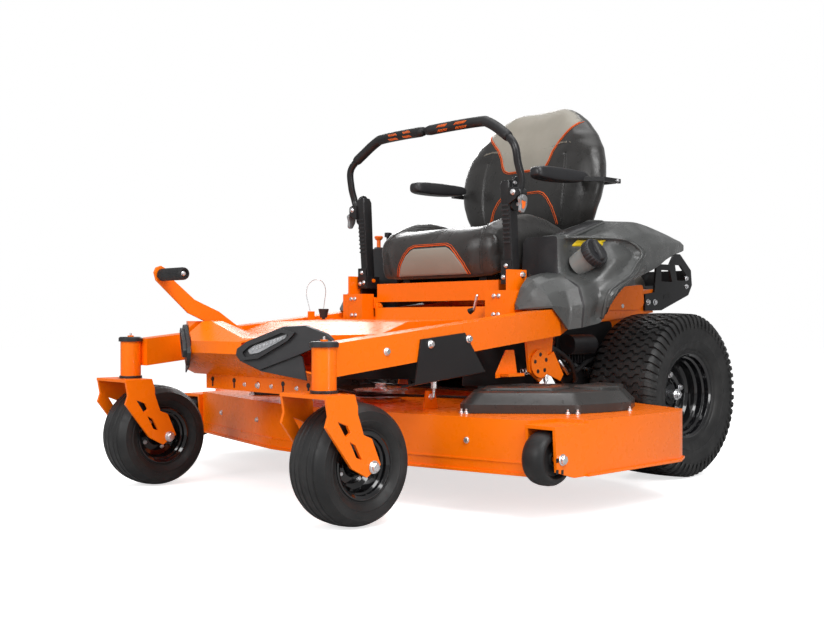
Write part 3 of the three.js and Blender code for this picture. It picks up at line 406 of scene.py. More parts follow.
class Solid:
    """Collects closed shapes, in millimetres from the centre plane, with a material each."""

    def __init__(self, *materials):
        self.materials = list(materials)
        self.mesh = bmesh.new()

    def skin(self, rings, ink=0, closed=True, caps=True):
        """Faces between successive rings of points, with its ends capped."""
        made = [[self.mesh.verts.new(p) for p in ring] for ring in rings]
        index = self.index(ink)
        faces = []
        count = len(made[0])
        for lower, upper in zip(made, made[1:]):
            for i in range(count if closed else count - 1):
                j = (i + 1) % count
                faces.append(self.mesh.faces.new((lower[i], lower[j], upper[j], upper[i])))
        if caps:
            faces.append(self.mesh.faces.new(made[0][::-1]))
            faces.append(self.mesh.faces.new(made[-1]))
        for face in faces:
            face.material_index = index
        bmesh.ops.recalc_face_normals(self.mesh, faces=faces)
        return self

    def index(self, ink):
        if isinstance(ink, int):
            return ink
        if ink not in self.materials:
            self.materials.append(ink)
        return self.materials.index(ink)

    def prism(self, axis, points, start, end, ink=0):
        turn = AXES[axis]
        return self.skin([[turn(u, v, w) for u, v in points] for w in (start, end)], ink)

    def box(self, x0, x1, y0, y1, z0, z1, ink=0):
        return self.prism("z", [(x0, y0), (x1, y0), (x1, y1), (x0, y1)], z0, z1, ink)

    def rod(self, axis, radius, start, end, centre, ink=0, sides=24):
        return self.prism(axis, circle(radius, *centre, sides), start, end, ink)

    def lathe(self, axis, profile, centre, ink=0, sides=48):
        """A closed (radius, along) outline turned about an axis through a centre point."""
        turn = AXES[axis]
        rings = [[Vector(centre) + Vector(turn(r * math.cos(a), r * math.sin(a), t)) for r, t in profile]
                 for a in (math.tau * i / sides for i in range(sides + 1))]
        made = [[self.mesh.verts.new(p) for p in ring] for ring in rings[:-1]]
        made.append(made[0])
        faces = []
        count = len(profile)
        for lower, upper in zip(made, made[1:]):
            for i in range(count):
                j = (i + 1) % count
                faces.append(self.mesh.faces.new((lower[i], lower[j], upper[j], upper[i])))
        for face in faces:
            face.material_index = self.index(ink)
        bmesh.ops.recalc_face_normals(self.mesh, faces=faces)
        return self

    def sweep(self, points, radius, ink=0, sides=10, steps=6):
        """A round bar along a smooth line; the radius may be a function of the share of the way."""
        line = smooth_path(points, steps) if steps > 1 else [Vector(p) for p in points]
        size = radius if callable(radius) else lambda share: radius
        side = Vector((0.31, 0.17, 0.93))
        rings = []
        for i, point in enumerate(line):
            ahead = (line[min(i + 1, len(line) - 1)] - line[max(i - 1, 0)]).normalized()
            side = (side - ahead * side.dot(ahead)).normalized()
            other = ahead.cross(side)
            r = size(i / (len(line) - 1))
            rings.append([point + side * u + other * v for u, v in circle(r, 0, 0, sides)])
        return self.skin(rings, ink)

    def bar(self, start, end, radius, ink=0, sides=12):
        return self.sweep([start, end], radius, ink, sides, 1)

    def hull(self, points, ink=0):
        verts = [self.mesh.verts.new(p) for p in points]
        made = bmesh.ops.convex_hull(self.mesh, input=verts)
        spare = [v for v in made["geom_interior"] if isinstance(v, bmesh.types.BMVert)]
        bmesh.ops.delete(self.mesh, geom=spare, context="VERTS")
        faces = [f for f in made["geom"] if isinstance(f, bmesh.types.BMFace) and f.is_valid]
        for face in faces:
            face.material_index = self.index(ink)
        bmesh.ops.dissolve_limit(self.mesh, angle_limit=0.01, verts=list({v for f in faces for v in f.verts}),
                                 edges=list({e for f in faces for e in f.edges}))
        return self

    def bolt(self, place, direction, size=8, ink=0):
        """Flanged hex head standing on a surface at `place`, pointing along `direction`."""
        out = Vector(direction).normalized()
        side = out.orthogonal().normalized()
        other = out.cross(side)
        base = Vector(place)

        def ring(radius, height, sides=12):
            return [base + out * height + side * u + other * v for u, v in circle(radius, 0, 0, sides)]

        def hexagon(radius, height):
            corners = circle(radius, 0, 0, 6)
            points = [p for a, b in zip(corners, corners[1:] + corners[:1])
                      for p in (a, ((a[0] + b[0]) / 2, (a[1] + b[1]) / 2))]
            return [base + out * height + side * u + other * v for u, v in points]

        flange = ((1.25, -0.4 / size), (1.25, 0.16), (1.05, 0.28))
        head = ((1.0, 0.2), (1.0, 0.75), (0.8, 0.9))
        self.skin([ring(size * wide, size * high) for wide, high in flange], ink)
        self.skin([hexagon(size * wide, size * high) for wide, high in head], ink)
        return self

    def place(self, name, body, slot, bevel=0.8, segments=2, replaces=(), limit=32):
        """Turns the collected shapes into one object that rides on a CAD body."""
        bmesh.ops.transform(self.mesh, matrix=Matrix.Translation(CENTRE) @ Matrix.Scale(MM, 4),
                            verts=self.mesh.verts)
        data = bpy.data.meshes.new(name)
        self.mesh.to_mesh(data)
        self.mesh.free()
        for material in self.materials:
            data.materials.append(material)
        made = bpy.data.objects.new(name, data)
        bpy.context.scene.collection.objects.link(made)
        soften(made, bevel, segments, limit)
        if body:
            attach(made, body)
        if replaces:
            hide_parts(*replaces)
        return made


def soften(piece, bevel, segments=2, limit=32):
    """Smooth shading, with real edges rounded by `bevel` millimetres."""
    piece.data.shade_smooth()
    if bevel:
        edges = piece.modifiers.new("edges", "BEVEL")
        edges.width = bevel * MM
        edges.segments = segments
        edges.limit_method = "ANGLE"
        edges.angle_limit = math.radians(limit)
        edges.harden_normals = True
        edges.use_clamp_overlap = True


def finish_node(name, material, bevel=1.0):
    """Gives a CAD node its material, and rounds its edges without moving a vertex."""
    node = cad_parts[name]
    if "custom_normal" in node.data.attributes:
        node.data.attributes.remove(node.data.attributes["custom_normal"])
    node.data.materials.clear()
    node.data.materials.append(material)
    weld = node.modifiers.new("weld", "WELD")
    weld.merge_threshold = 0.00002
    flat = node.modifiers.new("flat", "DECIMATE")
    flat.decimate_type = "DISSOLVE"
    flat.angle_limit = math.radians(0.5)
    soften(node, bevel)


def both_sides(build):
    """Runs a builder once for each side of the machine."""
    for side, sign in SIDES.items():
        build(side, sign)


# ------------------------------------------------------------------ the height-pin lanyard
LANYARD_DIAMETER = 2
LANYARD = [
    (-352, -222, 501), (-356, -224, 520), (-362, -228, 550), (-360, -226, 578), (-350, -215, 596),
    (-338, -200, 600), (-330, -186, 590), (-328, -178, 565), (-333, -178, 535), (-336, -180, 509),
]


def add_lanyard():
    """Springy coated wire from the bracket tab up and over to the knob."""
    line = [at(*point) for point in smooth_path(LANYARD, 5)]
    wire = Solid(STEEL).sweep(LANYARD, LANYARD_DIAMETER / 2, 0, 8, 5)
    wire = wire.place("lanyard", None, "steel", 0, replaces=["pin_lanyard"])
    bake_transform(wire)


add_lanyard()

# ------------------------------------------------------------------ CAD nodes that stay
CAD_FINISH = {
    "main_frame": (ORANGE, 1.6), "foot_platform": (ORANGE, 1.2), "seat_box": (ORANGE, 1.2),
    "seat_pan": (ORANGE, 1.4), "deck_shell": (ORANGE, 2.0), "lift_pedal": (ORANGE, 1.2),
    "caster_fork": (ORANGE, 1.2), "step_plate": (BLACK, 1.0), "rear_bumper": (BLACK, 1.0),
    "seat_slide": (BLACK, 1.0), "height_pin": (DARK, 1.0), "throttle_lever": (DARK, 1.5),
    "chute_deflector": (CHUTE, 1.5), "ignition_key": (STEEL, 0.4),
}


def finish_cad_nodes():
    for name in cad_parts:
        for family, finish in CAD_FINISH.items():
            if name.startswith(family):
                finish_node(name, *finish)


finish_cad_nodes()


# ------------------------------------------------------------------ tyres and rims
TREAD_PITCH = 62
TREAD_DEPTH = 6.5
RIDGE_FLAT = 13.5
RIDGE_SLOPE = 6.8
RIDGE_SWING = 5.2


def half_outline(points):
    """A (radius, along) outline given for one half, completed on the other side."""
    return [(r, t) for r, t in points] + [(r, -t) for r, t in reversed(points) if t > 0.01]


def ring_point(centre, radius, along, turn):
    return Vector(centre) + Vector((along, radius * math.cos(turn), radius * math.sin(turn)))


def turf_ridges(tyre, centre):
    """Stepped ridges across the tread, each running on down both shoulders as a curved lug."""
    pitch = math.tau / TREAD_PITCH
    across = []
    shoulder = [(205, 113.5), (218, 112), (231, 107), (239, 98.5), (243.5, 90)]
    for radius, along in shoulder:
        across.append((radius, -along, 0.0))
    high, place = 1, -82
    while place < 82:
        for width in (0, RIDGE_FLAT):
            along = place + width
            across.append((REAR["radius"] - 2.6 * (along / 89) ** 2, along, high * RIDGE_SWING))
        place += RIDGE_FLAT + RIDGE_SLOPE
        high = -high
    for radius, along in reversed(shoulder):
        across.append((radius, along, 0.0))
    for step in range(TREAD_PITCH):
        rings = []
        for index, (radius, along, swing) in enumerate(across):
            edge = min(index, len(across) - 1 - index)
            shade = min(1.0, 0.62 + 0.08 * edge)
            lag = 0.1 * max(0, 5 - edge)
            turn = (step + lag) * pitch + swing / REAR["radius"]
            depth = TREAD_DEPTH if edge > 2 else TREAD_DEPTH * (0.55 + 0.15 * edge)
            half = 0.3 * pitch * shade
            rings.append([ring_point(centre, r, along * (1 if r == radius else 0.985), turn + t) for r, t in (
                (radius - depth - 1, -half * 1.25), (radius, -half), (radius, half),
                (radius - depth - 1, half * 1.25))])
        tyre.skin(rings)


def rear_tyre(side, sign):
    centre = (sign * REAR["x"], REAR["y"], REAR["radius"])
    carcass = half_outline([
        (124, 76), (125, 86), (131, 93), (136, 94), (138, 97), (150, 103), (160, 106.5), (163, 108.5),
        (166, 107), (180, 109), (200, 110), (206, 111), (208, 109), (222, 105), (232, 98), (238, 88),
        (240, 60), (241, 0.0),
    ])
    tyre = Solid(TYRE)
    tyre.lathe("x", carcass + [(124, -70), (124, 70)], (0, 0, 0), 0, 128)
    bmesh.ops.translate(tyre.mesh, vec=centre, verts=tyre.mesh.verts)
    turf_ridges(tyre, centre)
    tyre.place(f"turf_tyre_{side}", f"rear_wheel_{side}", "tyre_rubber", 0.5, 1, [f"rear_tyre_{side}"], 40)


def rear_rim(side, sign):
    """Deep-dish pressed wheel: stepped well, domed disc, five lug bolts and a valve stem."""
    centre = (sign * REAR["x"], REAR["y"], REAR["radius"])
    outline = [
        (34, 12), (46, 12), (50, 20), (66, 24), (84, 20), (96, 14), (103, 22), (104, 44), (110, 50),
        (111, 66), (117, 70), (118, 84), (124, 89), (130, 89), (131, 86), (126, 85), (121, 82), (121, 70),
        (115, 66), (114, 50), (108, 44), (107, 18), (107, -40), (114, -46), (115, -66), (121, -70),
        (121, -82), (126, -85), (131, -86), (130, -89), (124, -89), (118, -84), (118, -66), (112, -62),
        (111, -44), (104, -38), (103, 6), (96, 8), (84, 14), (66, 18), (52, 14), (48, 6), (34, 6),
    ]
    rim = Solid(GLOSS_BLACK)
    rim.lathe("x", [(r, t * sign) for r, t in outline], centre, 0, 72)
    for turn in (math.tau * i / 5 + 0.3 for i in range(5)):
        spot = ring_point(centre, 60, sign * 22, turn)
        rim.bolt(spot, (sign, 0, 0), 9, rim.index(ZINC))
    stem = ring_point(centre, 98, sign * 14, 2.2)
    neck = stem + Vector((sign * 26, 0, 3))
    rim.bar(stem, neck, 4, rim.index(HOSE_AND_HOLE_SHADE), 10)
    rim.bar(neck, stem + Vector((sign * 33, 0, 3.6)), 3, rim.index(ZINC), 10)
    rim.place(f"pressed_rim_{side}", f"rear_wheel_{side}", "black_gloss_rim", 1.1, 3, [f"rear_rim_{side}"])


def axle_end(side, sign):
    """Castle nut, washer and split pin on the end of the drive axle."""
    nut = Solid(ZINC)
    x, y, z = sign * (REAR["x"] + 46), REAR["y"], REAR["radius"]
    far = x + sign * 12
    nut.rod("x", 17, x, x + sign * 3, (y, z), 0, 32)
    nut.prism("x", circle(12, y, z, 6), x + sign * 3, far)
    nut.rod("x", 6, x, far + sign * 4, (y, z), 0, 20)
    nut.bar((far + sign, y - 11, z - 2), (far + sign, y + 11, z + 2), 1.2)
    nut.place(f"axle_nut_{side}", "chassis", "steel", 0.8)


def caster_tyre(side, sign):
    centre = (sign * CASTER["x"], CASTER["axle_y"], CASTER["radius"])
    outline = half_outline([
        (77, 38), (77.5, 46), (82, 51), (85, 51), (88, 55), (98, 61), (102, 63), (104, 62), (114, 64.5),
        (121, 63), (124, 63.5), (126, 60), (134, 52), (138.6, 42), (137, 40), (137.2, 38), (140.2, 36),
        (141.8, 24), (140, 22.4), (140, 20.6), (142, 19), (143, 7), (141, 5.6), (141, 0.0),
    ])
    tyre = Solid(TYRE)
    tyre.lathe("x", outline, centre, 0, 112)
    for angle in (0.4, 2.6, 4.5):
        for face in (-1, 1):
            pad = [ring_point(centre, r, face * 63.4, angle + a) for r, a in
                   ((109, -0.12), (109, 0.12), (117, 0.11), (117, -0.11))]
            rise = [p + Vector((face * 1.2, 0, 0)) for p in pad]
            tyre.skin([pad, rise])
    tyre.place(f"caster_rib_tyre_{side}", f"caster_wheel_{side}", "tyre_rubber", 0.7, 2,
               [f"caster_tyre_{side}"], 38)


def caster_rim(side, sign):
    centre = (sign * CASTER["x"], CASTER["axle_y"], CASTER["radius"])
    half = [
        (9, 66), (15, 66), (17, 62), (22, 60), (24, 55), (24, 22), (30, 12), (46, 8), (58, 14), (62, 24),
        (63, 36), (68, 40), (69, 48), (76, 53), (80, 52), (80.5, 49), (76, 48), (73, 44), (72, 37),
        (67, 32), (66, 8),
    ]
    rim = Solid(GLOSS_BLACK)
    rim.lathe("x", half + [(r, -t) for r, t in reversed(half)], centre, 0, 64)
    for face in (-1, 1):
        for turn in (math.tau * i / 4 + 0.5 for i in range(4)):
            rim.bolt(ring_point(centre, 40, face * 9, turn), (face, 0, 0), 5.5, rim.index(ZINC))
    stem = ring_point(centre, 56, 14 * sign, 4.2)
    rim.bar(stem, stem + Vector((sign * 24, 0, -4)), 3.4, rim.index(HOSE_AND_HOLE_SHADE), 10)
    rim.place(f"caster_disc_{side}", f"caster_wheel_{side}", "black_gloss_rim", 0.6, 2,
              [f"caster_rim_{side}"])


def caster_hardware(side, sign):
    """Axle bolt and nut, spindle washer, dust cap and grease nipple."""
    x, axle_y, spindle_y, axle_z = sign * CASTER["x"], CASTER["axle_y"], CASTER["spindle_y"], CASTER["radius"]
    parts = Solid(ZINC)
    for face in (-1, 1):
        start = x + face * CASTER["fork"]
        parts.rod("x", 15, start, start + face * 2.4, (axle_y, axle_z), 0, 28)
        parts.bolt((start + face * 2, axle_y, axle_z), (face, 0, 0), 11)
    parts.lathe("z", [(15.8, 308.2), (31, 308.2), (31, 309), (15.8, 309)], (x, spindle_y, 0), 0, 32)
    cap = [(9.4, 420), (31.5, 420), (32, 412), (33.5, 412), (33.5, 422), (30, 425), (9.4, 425)]
    parts.lathe("z", cap, (x, spindle_y, 0), parts.index(DARK), 40)
    parts.bar((x, spindle_y, 429), (x, spindle_y, 436), 3, 0, 10)
    parts.place(f"caster_hardware_{side}", f"caster_{side}", "steel", 0.5)


def scalp_wheel(name, body, centre, node):
    """Moulded anti-scalp wheel with a rounded crown and a recessed hub."""
    wheel = Solid(TYRE)
    half = [(9, 24), (16, 24), (18, 20), (40, 19), (43, 25), (46, 30), (52, 30.6), (58, 27), (62, 20),
            (64, 10), (64.3, 0.0)]
    wheel.lathe("x", half_outline(half), centre, 0, 56)
    wheel.place(name, body, "guide_rubber", 0.6, 2, [node], 40)


def add_wheels():
    for build in (rear_tyre, rear_rim, axle_end, caster_tyre, caster_rim, caster_hardware):
        both_sides(build)
    for side, sign in SIDES.items():
        node = f"guide_wheel_outer_{side}"
        scalp_wheel(f"scalp_wheel_{side}", node, (sign * SCALP["x"], SCALP["y"], SCALP["z"]), node)
    scalp_wheel("scalp_wheel_inner", "guide_wheel_inner", (*SCALP_INNER, SCALP["z"]), "guide_wheel_inner")


add_wheels()


# ------------------------------------------------------------------ padded seat
VOXEL = 0.0055
CLOTH_PRESSURE = 4
CLOTH_FRAMES = 20
CREASE_PASSES = 16


def blended(a, b, share):
    return tuple(p + (q - p) * share for p, q in zip(a, b))


def smoothstep(value):
    value = min(1.0, max(0.0, value))
    return value * value * (3 - 2 * value)


def table(rows, key):
    """Values read between the rows of a table whose first column is the key."""
    if key <= rows[0][0]:
        return rows[0][1:]
    for low, high in zip(rows, rows[1:]):
        if key <= high[0]:
            return blended(low[1:], high[1:], (key - low[0]) / (high[0] - low[0]))
    return rows[-1][1:]


def apply_modifiers(obj):
    ready = obj.evaluated_get(bpy.context.evaluated_depsgraph_get())
    mesh = bpy.data.meshes.new_from_object(ready)
    old = obj.data
    obj.modifiers.clear()
    obj.data = mesh
    bpy.data.meshes.remove(old)


def inflate(obj, cap, held):
    """Swells a padded form with cloth pressure; `held(point)` tells how firmly a point stays put."""
    remesh = obj.modifiers.new("voxels", "REMESH")
    remesh.mode = "VOXEL"
    remesh.voxel_size = VOXEL
    relax = obj.modifiers.new("relax", "SMOOTH")
    relax.iterations = 6
    apply_modifiers(obj)
    start = [v.co.copy() for v in obj.data.vertices]
    group = obj.vertex_groups.new(name="held")
    for vertex in obj.data.vertices:
        weight = held(vertex.co)
        if weight > 0.01:
            group.add([vertex.index], weight, "REPLACE")
    cloth = obj.modifiers.new("cloth", "CLOTH")
    settings = cloth.settings
    settings.use_pressure = True
    settings.uniform_pressure_force = CLOTH_PRESSURE
    settings.effector_weights.gravity = 0
    settings.vertex_group_mass = "held"
    settings.quality = 5
    cloth.point_cache.frame_start = 1
    cloth.point_cache.frame_end = CLOTH_FRAMES
    scene = bpy.context.scene
    for frame_number in range(1, CLOTH_FRAMES + 1):
        scene.frame_set(frame_number)
    ready = obj.evaluated_get(bpy.context.evaluated_depsgraph_get())
    swollen = [v.co.copy() for v in ready.data.vertices]
    obj.modifiers.clear()
    for vertex, before, after in zip(obj.data.vertices, start, swollen):
        shift = after - before
        if shift.length > cap:
            shift *= cap / shift.length
        vertex.co = before + shift
    scene.frame_set(1)
    settle = obj.modifiers.new("settle", "SMOOTH")
    settle.iterations = CREASE_PASSES
    smooth = obj.modifiers.new("round", "SUBSURF")
    smooth.levels = smooth.render_levels = 1
    apply_modifiers(obj)


def pinch(obj, lines, depth, reach):
    """Draws the surface in along sewn lines."""
    points = [p for line in lines for p in line]
    tree = KDTree(len(points))
    for i, p in enumerate(points):
        tree.insert(p, i)
    tree.balance()
    normals = [v.normal.copy() for v in obj.data.vertices]
    for vertex, normal in zip(obj.data.vertices, normals):
        distance = tree.find(vertex.co)[2]
        if distance < reach:
            vertex.co -= normal * depth * (1 - distance / reach) ** 2
    obj.data.update()


def surface_of(obj):
    return BVHTree.FromPolygons([v.co for v in obj.data.vertices], [p.vertices for p in obj.data.polygons])


def project(tree, points, direction, lift=0.0):
    """Drops points onto a surface along a direction, and lifts them off it a little."""
    result = []
    for point in points:
        start = at(*point) - Vector(direction) * 0.4
        for nudge in (0.0, 0.0004, -0.0007):
            hit, normal, _, _ = tree.ray_cast(start + Vector((nudge, nudge, nudge)), Vector(direction))
            if hit is not None:
                break
        else:
            hit, normal, _, _ = tree.find_nearest(at(*point))
        result.append(((hit + normal * lift * MM) - CENTRE) / MM)
    return result


def outline_points(points, step=6.0):
    """A closed or open outline cut into short steps."""
    result = []
    for a, b in zip(points, points[1:]):
        count = max(1, int((Vector(b) - Vector(a)).length / step))
        result += [tuple(Vector(a).lerp(Vector(b), i / count)) for i in range(count)]
    result.append(points[-1])
    return result


def patch(body, tree, rows, direction, lift, ink):
    """A panel lying on a surface; each row is a function that gives a point for a share of its width."""
    columns = 34
    dropped = [project(tree, [row(i / columns) for i in range(columns + 1)], direction, lift) for row in rows]
    inward = Vector(direction) * 3
    body.skin([row + [p + inward for p in reversed(row)] for row in dropped], ink)


def rail_line(tree, outline, direction, lift):
    return project(tree, outline_points(outline), direction, lift)


CUSHION_CORE = [
    (8, 612), (-4, 598), (-22, 598), (-34, 630), (-40, 680), (-36, 714), (-16, 738), (20, 748), (80, 751),
    (160, 749), (240, 744), (320, 740), (380, 732), (414, 714), (424, 680), (420, 636), (396, 612),
]
CUSHION_SIDE = [
    (14, 612), (2, 600), (-12, 600), (-22, 640), (-28, 690), (-21, 724), (2, 748), (40, 768), (100, 788),
    (165, 797), (240, 786), (320, 762), (380, 738), (410, 716), (420, 680), (416, 636), (394, 612),
]
CUSHION_STATIONS = (254, 248, 236, 222, 206, 192, 178, 160, 130, 80, 30)


def cushion_ring(x):
    side = smoothstep((abs(x) - 158) / 46)
    over = max(0.0, (abs(x) - 216) / 40)
    keep = math.sqrt(max(0.0, 1 - over * over))
    ring = []
    for core, bolster in zip(CUSHION_CORE, CUSHION_SIDE):
        y, z = blended(core, bolster, side)
        height = 0.45 + 0.55 * keep if z > 680 else 0.6 + 0.4 * keep
        ring.append((x, 196 + (y - 196) * (0.86 + 0.14 * keep), 676 + (z - 676) * height))
    return ring


def build_cushion():
    stations = [-x for x in CUSHION_STATIONS] + [x for x in reversed(CUSHION_STATIONS)]
    pad = Solid(VINYL).skin([cushion_ring(x) for x in stations])
    cushion = pad.place("seat_cushion_pad", None, "seat_vinyl", 0, replaces=["seat_cushion"])
    seat_lines = []
    for sign in (-1, 1):
        seat_lines.append([at(sign * x, y, z) for x, y, z in outline_points([
            (196, -20, 614), (198, -32, 650), (203, -36, 700), (199, -24, 730), (186, 20, 752),
            (180, 100, 762), (178, 200, 766), (176, 320, 752), (170, 400, 725)], 5)])
    for y in (108, 236):
        seat_lines.append([at(x, y, 752) for x in range(-172, 173, 6)])

    def held(point):
        floor = 1.0 if point.z < 0.618 else 0.0
        near = min((point - p).length for line in seat_lines for p in line[::3])
        return max(floor, 1 - near / 0.014)

    inflate(cushion, 0.007, held)
    pinch(cushion, seat_lines, 0.0035, 0.009)
    soften(cushion, 0)
    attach(cushion, "seat")
    return cushion


def trim_cushion(cushion):
    tree = surface_of(cushion)
    trim = Solid(INSERT, PIPING, VINYL)
    forward = (0, 1, 0)
    low, high = 609, 690

    def row(z):
        half = table([(609, 148), (640, 130), (670, 104), (684, 84), (690, 70)], z)[0]
        return lambda share: (half * (2 * share - 1), -60, z)

    patch(trim, tree, [row(low + (high - low) * i / 14) for i in range(15)], forward, 1.4, 0)
    half = [(150, 608), (134, 640), (108, 672), (88, 690), (66, 697)]
    border = [(-x, -60, z) for x, z in half] + [(x, -60, z) for x, z in reversed(half)]
    for lift, grow in ((1.2, 1.0), (1.0, 1.055)):
        line = [(x * grow, y, 608 + (z - 608) * grow) for x, y, z in border]
        trim.sweep(rail_line(tree, line, forward, lift), 1.5 if grow == 1.0 else 0.9, 1, 8, 1)
    for sign in (-1, 1):
        seam = [(sign * x, -60, z) for x, z in ((196, 614), (198, 650), (203, 700), (200, 728))]
        for shift in (-4, 4):
            line = [(x + shift, y, z) for x, y, z in seam]
            trim.sweep(rail_line(tree, line, forward, 0.3), 0.8, 2, 6, 1)
        top = [(sign * x, y, 900) for x, y in ((197, -8), (186, 20), (180, 100), (178, 200), (176, 320))]
        for shift in (-4, 4):
            line = [(x + shift, y, z) for x, y, z in top]
            trim.sweep(rail_line(tree, line, (0, 0, -1), 0.3), 0.8, 2, 6, 1)
    trim.place("cushion_trim", "seat", "seat_vinyl", 0)


BACK_LEVELS = [
    (746, 200, 448, 60), (756, 226, 446, 84), (780, 256, 443, 98), (820, 278, 441, 108),
    (870, 296, 444, 116), (920, 304, 451, 120), (970, 300, 458, 120), (1020, 286, 467, 114),
    (1070, 254, 480, 103), (1120, 205, 496, 86), (1150, 162, 505, 70), (1168, 128, 509, 52),
    (1176, 96, 511, 34),
]


def back_ring(level, half, y, depth):
    front, back = y - 0.52 * depth, y + 0.33 * depth
    scale = depth / 120
    side = [
        (0.0, front + 15 * scale), (0.26, front + 13 * scale), (0.46, front + 8 * scale),
        (0.62, front + 1 * scale), (0.76, front - 3 * scale), (0.88, front + 3 * scale),
        (0.96, front + 16 * scale), (1.0, front + 34 * scale), (0.985, front + 52 * scale),
        (0.93, back - 18 * scale), (0.82, back - 4 * scale), (0.6, back + 3 * scale),
        (0.3, back + 6 * scale),
    ]
    ring = [(half * u, v, level) for u, v in side]
    ring.append((0.0, back + 7 * scale, level))
    return ring + [(-x, v, level) for x, v, _ in reversed(ring[1:-1])]


SEAM_BACK = [(166, 1006), (169, 985), (173, 940), (173, 890), (168, 830), (160, 785), (152, 756)]
SHIELD = [(190, 1108), (158, 1078), (130, 1050), (109, 1020), (98, 990), (88, 974), (70, 966)]
ARCH = [(146, 780), (140, 806), (128, 838), (108, 868), (90, 884), (70, 892)]


def build_back():
    pad = Solid(VINYL).skin([back_ring(*level) for level in BACK_LEVELS])
    back = pad.place("seat_back_pad", None, "seat_vinyl", 0, replaces=["seat_backrest"])
    lines = []
    for sign in (-1, 1):
        seam = outline_points([(x, 0, z) for x, z in SEAM_BACK], 5)
        lines.append([at(sign * x, 386, z) for x, _, z in seam])

    def held(point):
        near = min(math.hypot(point.x - p.x, point.z - p.z) for line in lines for p in line[::3])
        front = 1.0 if point.y < 0.43 else 0.0
        return max(front * (1 - near / 0.014), 0.0)

    inflate(back, 0.006, held)
    soften(back, 0)
    tree = surface_of(back)
    drawn = [[at(*p) for p in rail_line(tree, [(sign * x, 0, z) for x, z in SEAM_BACK], (0, 1, 0), 0)]
             for sign in (-1, 1)]
    pinch(back, drawn, 0.0035, 0.009)
    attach(back, "seat")
    return back


def trim_back(back):
    tree = surface_of(back)
    trim = Solid(INSERT, PIPING, VINYL)
    forward = (0, 1, 0)
    widths = sorted((z, x) for x, z in SHIELD)

    def row(z):
        half = table([*widths, (1130, 187), (1150, 150), (1166, 118), (1172, 96)], z)[0]
        return lambda share: (half * (2 * share - 1), 0, z)

    levels = [967, 970, 975, 982, *range(992, 1160, 9), 1163, 1169, 1172]
    patch(trim, tree, [row(z) for z in levels], forward, 1.5, 0)
    half = [(x, 0, z) for x, z in SHIELD]
    border = [(-x, y, z) for x, y, z in half] + half[::-1]
    for lift, grow, size in ((1.3, 1.0, 1.6), (1.0, 1.045, 0.9)):
        line = [(x * grow, y, 1060 + (z - 1060) * grow) for x, y, z in border]
        trim.sweep(rail_line(tree, line, forward, lift), size, 1, 8, 1)
    half = [(x, 0, z) for x, z in ARCH]
    arch = [(-x, y, z) for x, y, z in half] + half[::-1]
    for grow, size in ((1.0, 1.5), (0.955, 0.8)):
        line = [(x * grow, y, 780 + (z - 780) * grow) for x, y, z in arch]
        trim.sweep(rail_line(tree, line, forward, 0.8), size, 1, 8, 1)
    for sign in (-1, 1):
        for shift in (-4.5, 4.5):
            line = [(sign * x + shift, 0, z) for x, z in SEAM_BACK]
            trim.sweep(rail_line(tree, line, forward, 0.3), 0.8, 2, 6, 1)
    trim.place("backrest_trim", "seat", "seat_vinyl", 0)


def seat_hardware():
    """Backrest mount with the links and pins that carry the arms."""
    kit = Solid(DARK)
    kit.hull([(s * x, y, z) for s in (-1, 1) for x, y, z in (
        (150, 433, 612), (150, 459, 612), (165, 444, 756), (165, 462, 756), (120, 433, 612),
        (120, 462, 760))])
    for sign in (-1, 1):
        kit.box(*span(sign, 236, 319), ARM_PIN[0] - 8.5, ARM_PIN[0] + 8.5, ARM_PIN[1] - 7.5, ARM_PIN[1] + 7.5,
                kit.index(BLACK))
        kit.rod("x", 5, *span(sign, 300, 320), ARM_PIN, kit.index(ZINC), 16)
    kit.place("backrest_mount", "seat", "black_plastic", 1.2)


def armrest(side, sign):
    """Moulded pad with a crowned top and a round nose, on a flat steel arm."""
    x, z = 261, 900
    pad = Solid(DARK)
    rings = []
    for y, half, low, high in ((138, 8, 8, 20), (140, 17, 2, 26), (147, 23, -3, 30), (158, 26, -6, 32),
                               (178, 28, -8, 34), (220, 29, -9, 35), (280, 29, -8, 35), (340, 28, -3, 34),
                               (366, 25, 3, 32), (377, 19, 8, 28), (381, 12, 12, 24)):
        outline = [(-half, low + 5), (-half * 0.8, low), (half * 0.8, low), (half, low + 5), (half, high - 8),
                   (half * 0.86, high - 3), (half * 0.5, high), (-half * 0.5, high), (-half * 0.86, high - 3),
                   (-half, high - 8)]
        rings.append([(sign * x + u, y, z + v) for u, v in outline])
    pad.skin(rings)
    made = pad.place(f"armrest_pad_{side}", f"armrest_{side}", "black_plastic", 0)
    smooth = made.modifiers.new("round", "SUBSURF")
    smooth.levels = smooth.render_levels = 2
    apply_modifiers(made)
    soften(made, 0)
    arm = Solid(BLACK)
    outline = [(x + 8, 345), (x + 24, 345), (330, 392), (330, 478), (321, 478), (321, 396)]
    arm.prism("z", [(sign * u, v) for u, v in outline], z + 1, z + 15)
    arm.bolt((sign * 330, 461, z + 8), (sign, 0, 0), 5, arm.index(ZINC))
    arm.place(f"armrest_link_{side}", f"armrest_{side}", "black_paint", 1.0, replaces=[f"armrest_{side}"])


def add_seat():
    trim_cushion(build_cushion())
    trim_back(build_back())
    seat_hardware()
    both_sides(armrest)


add_seat()


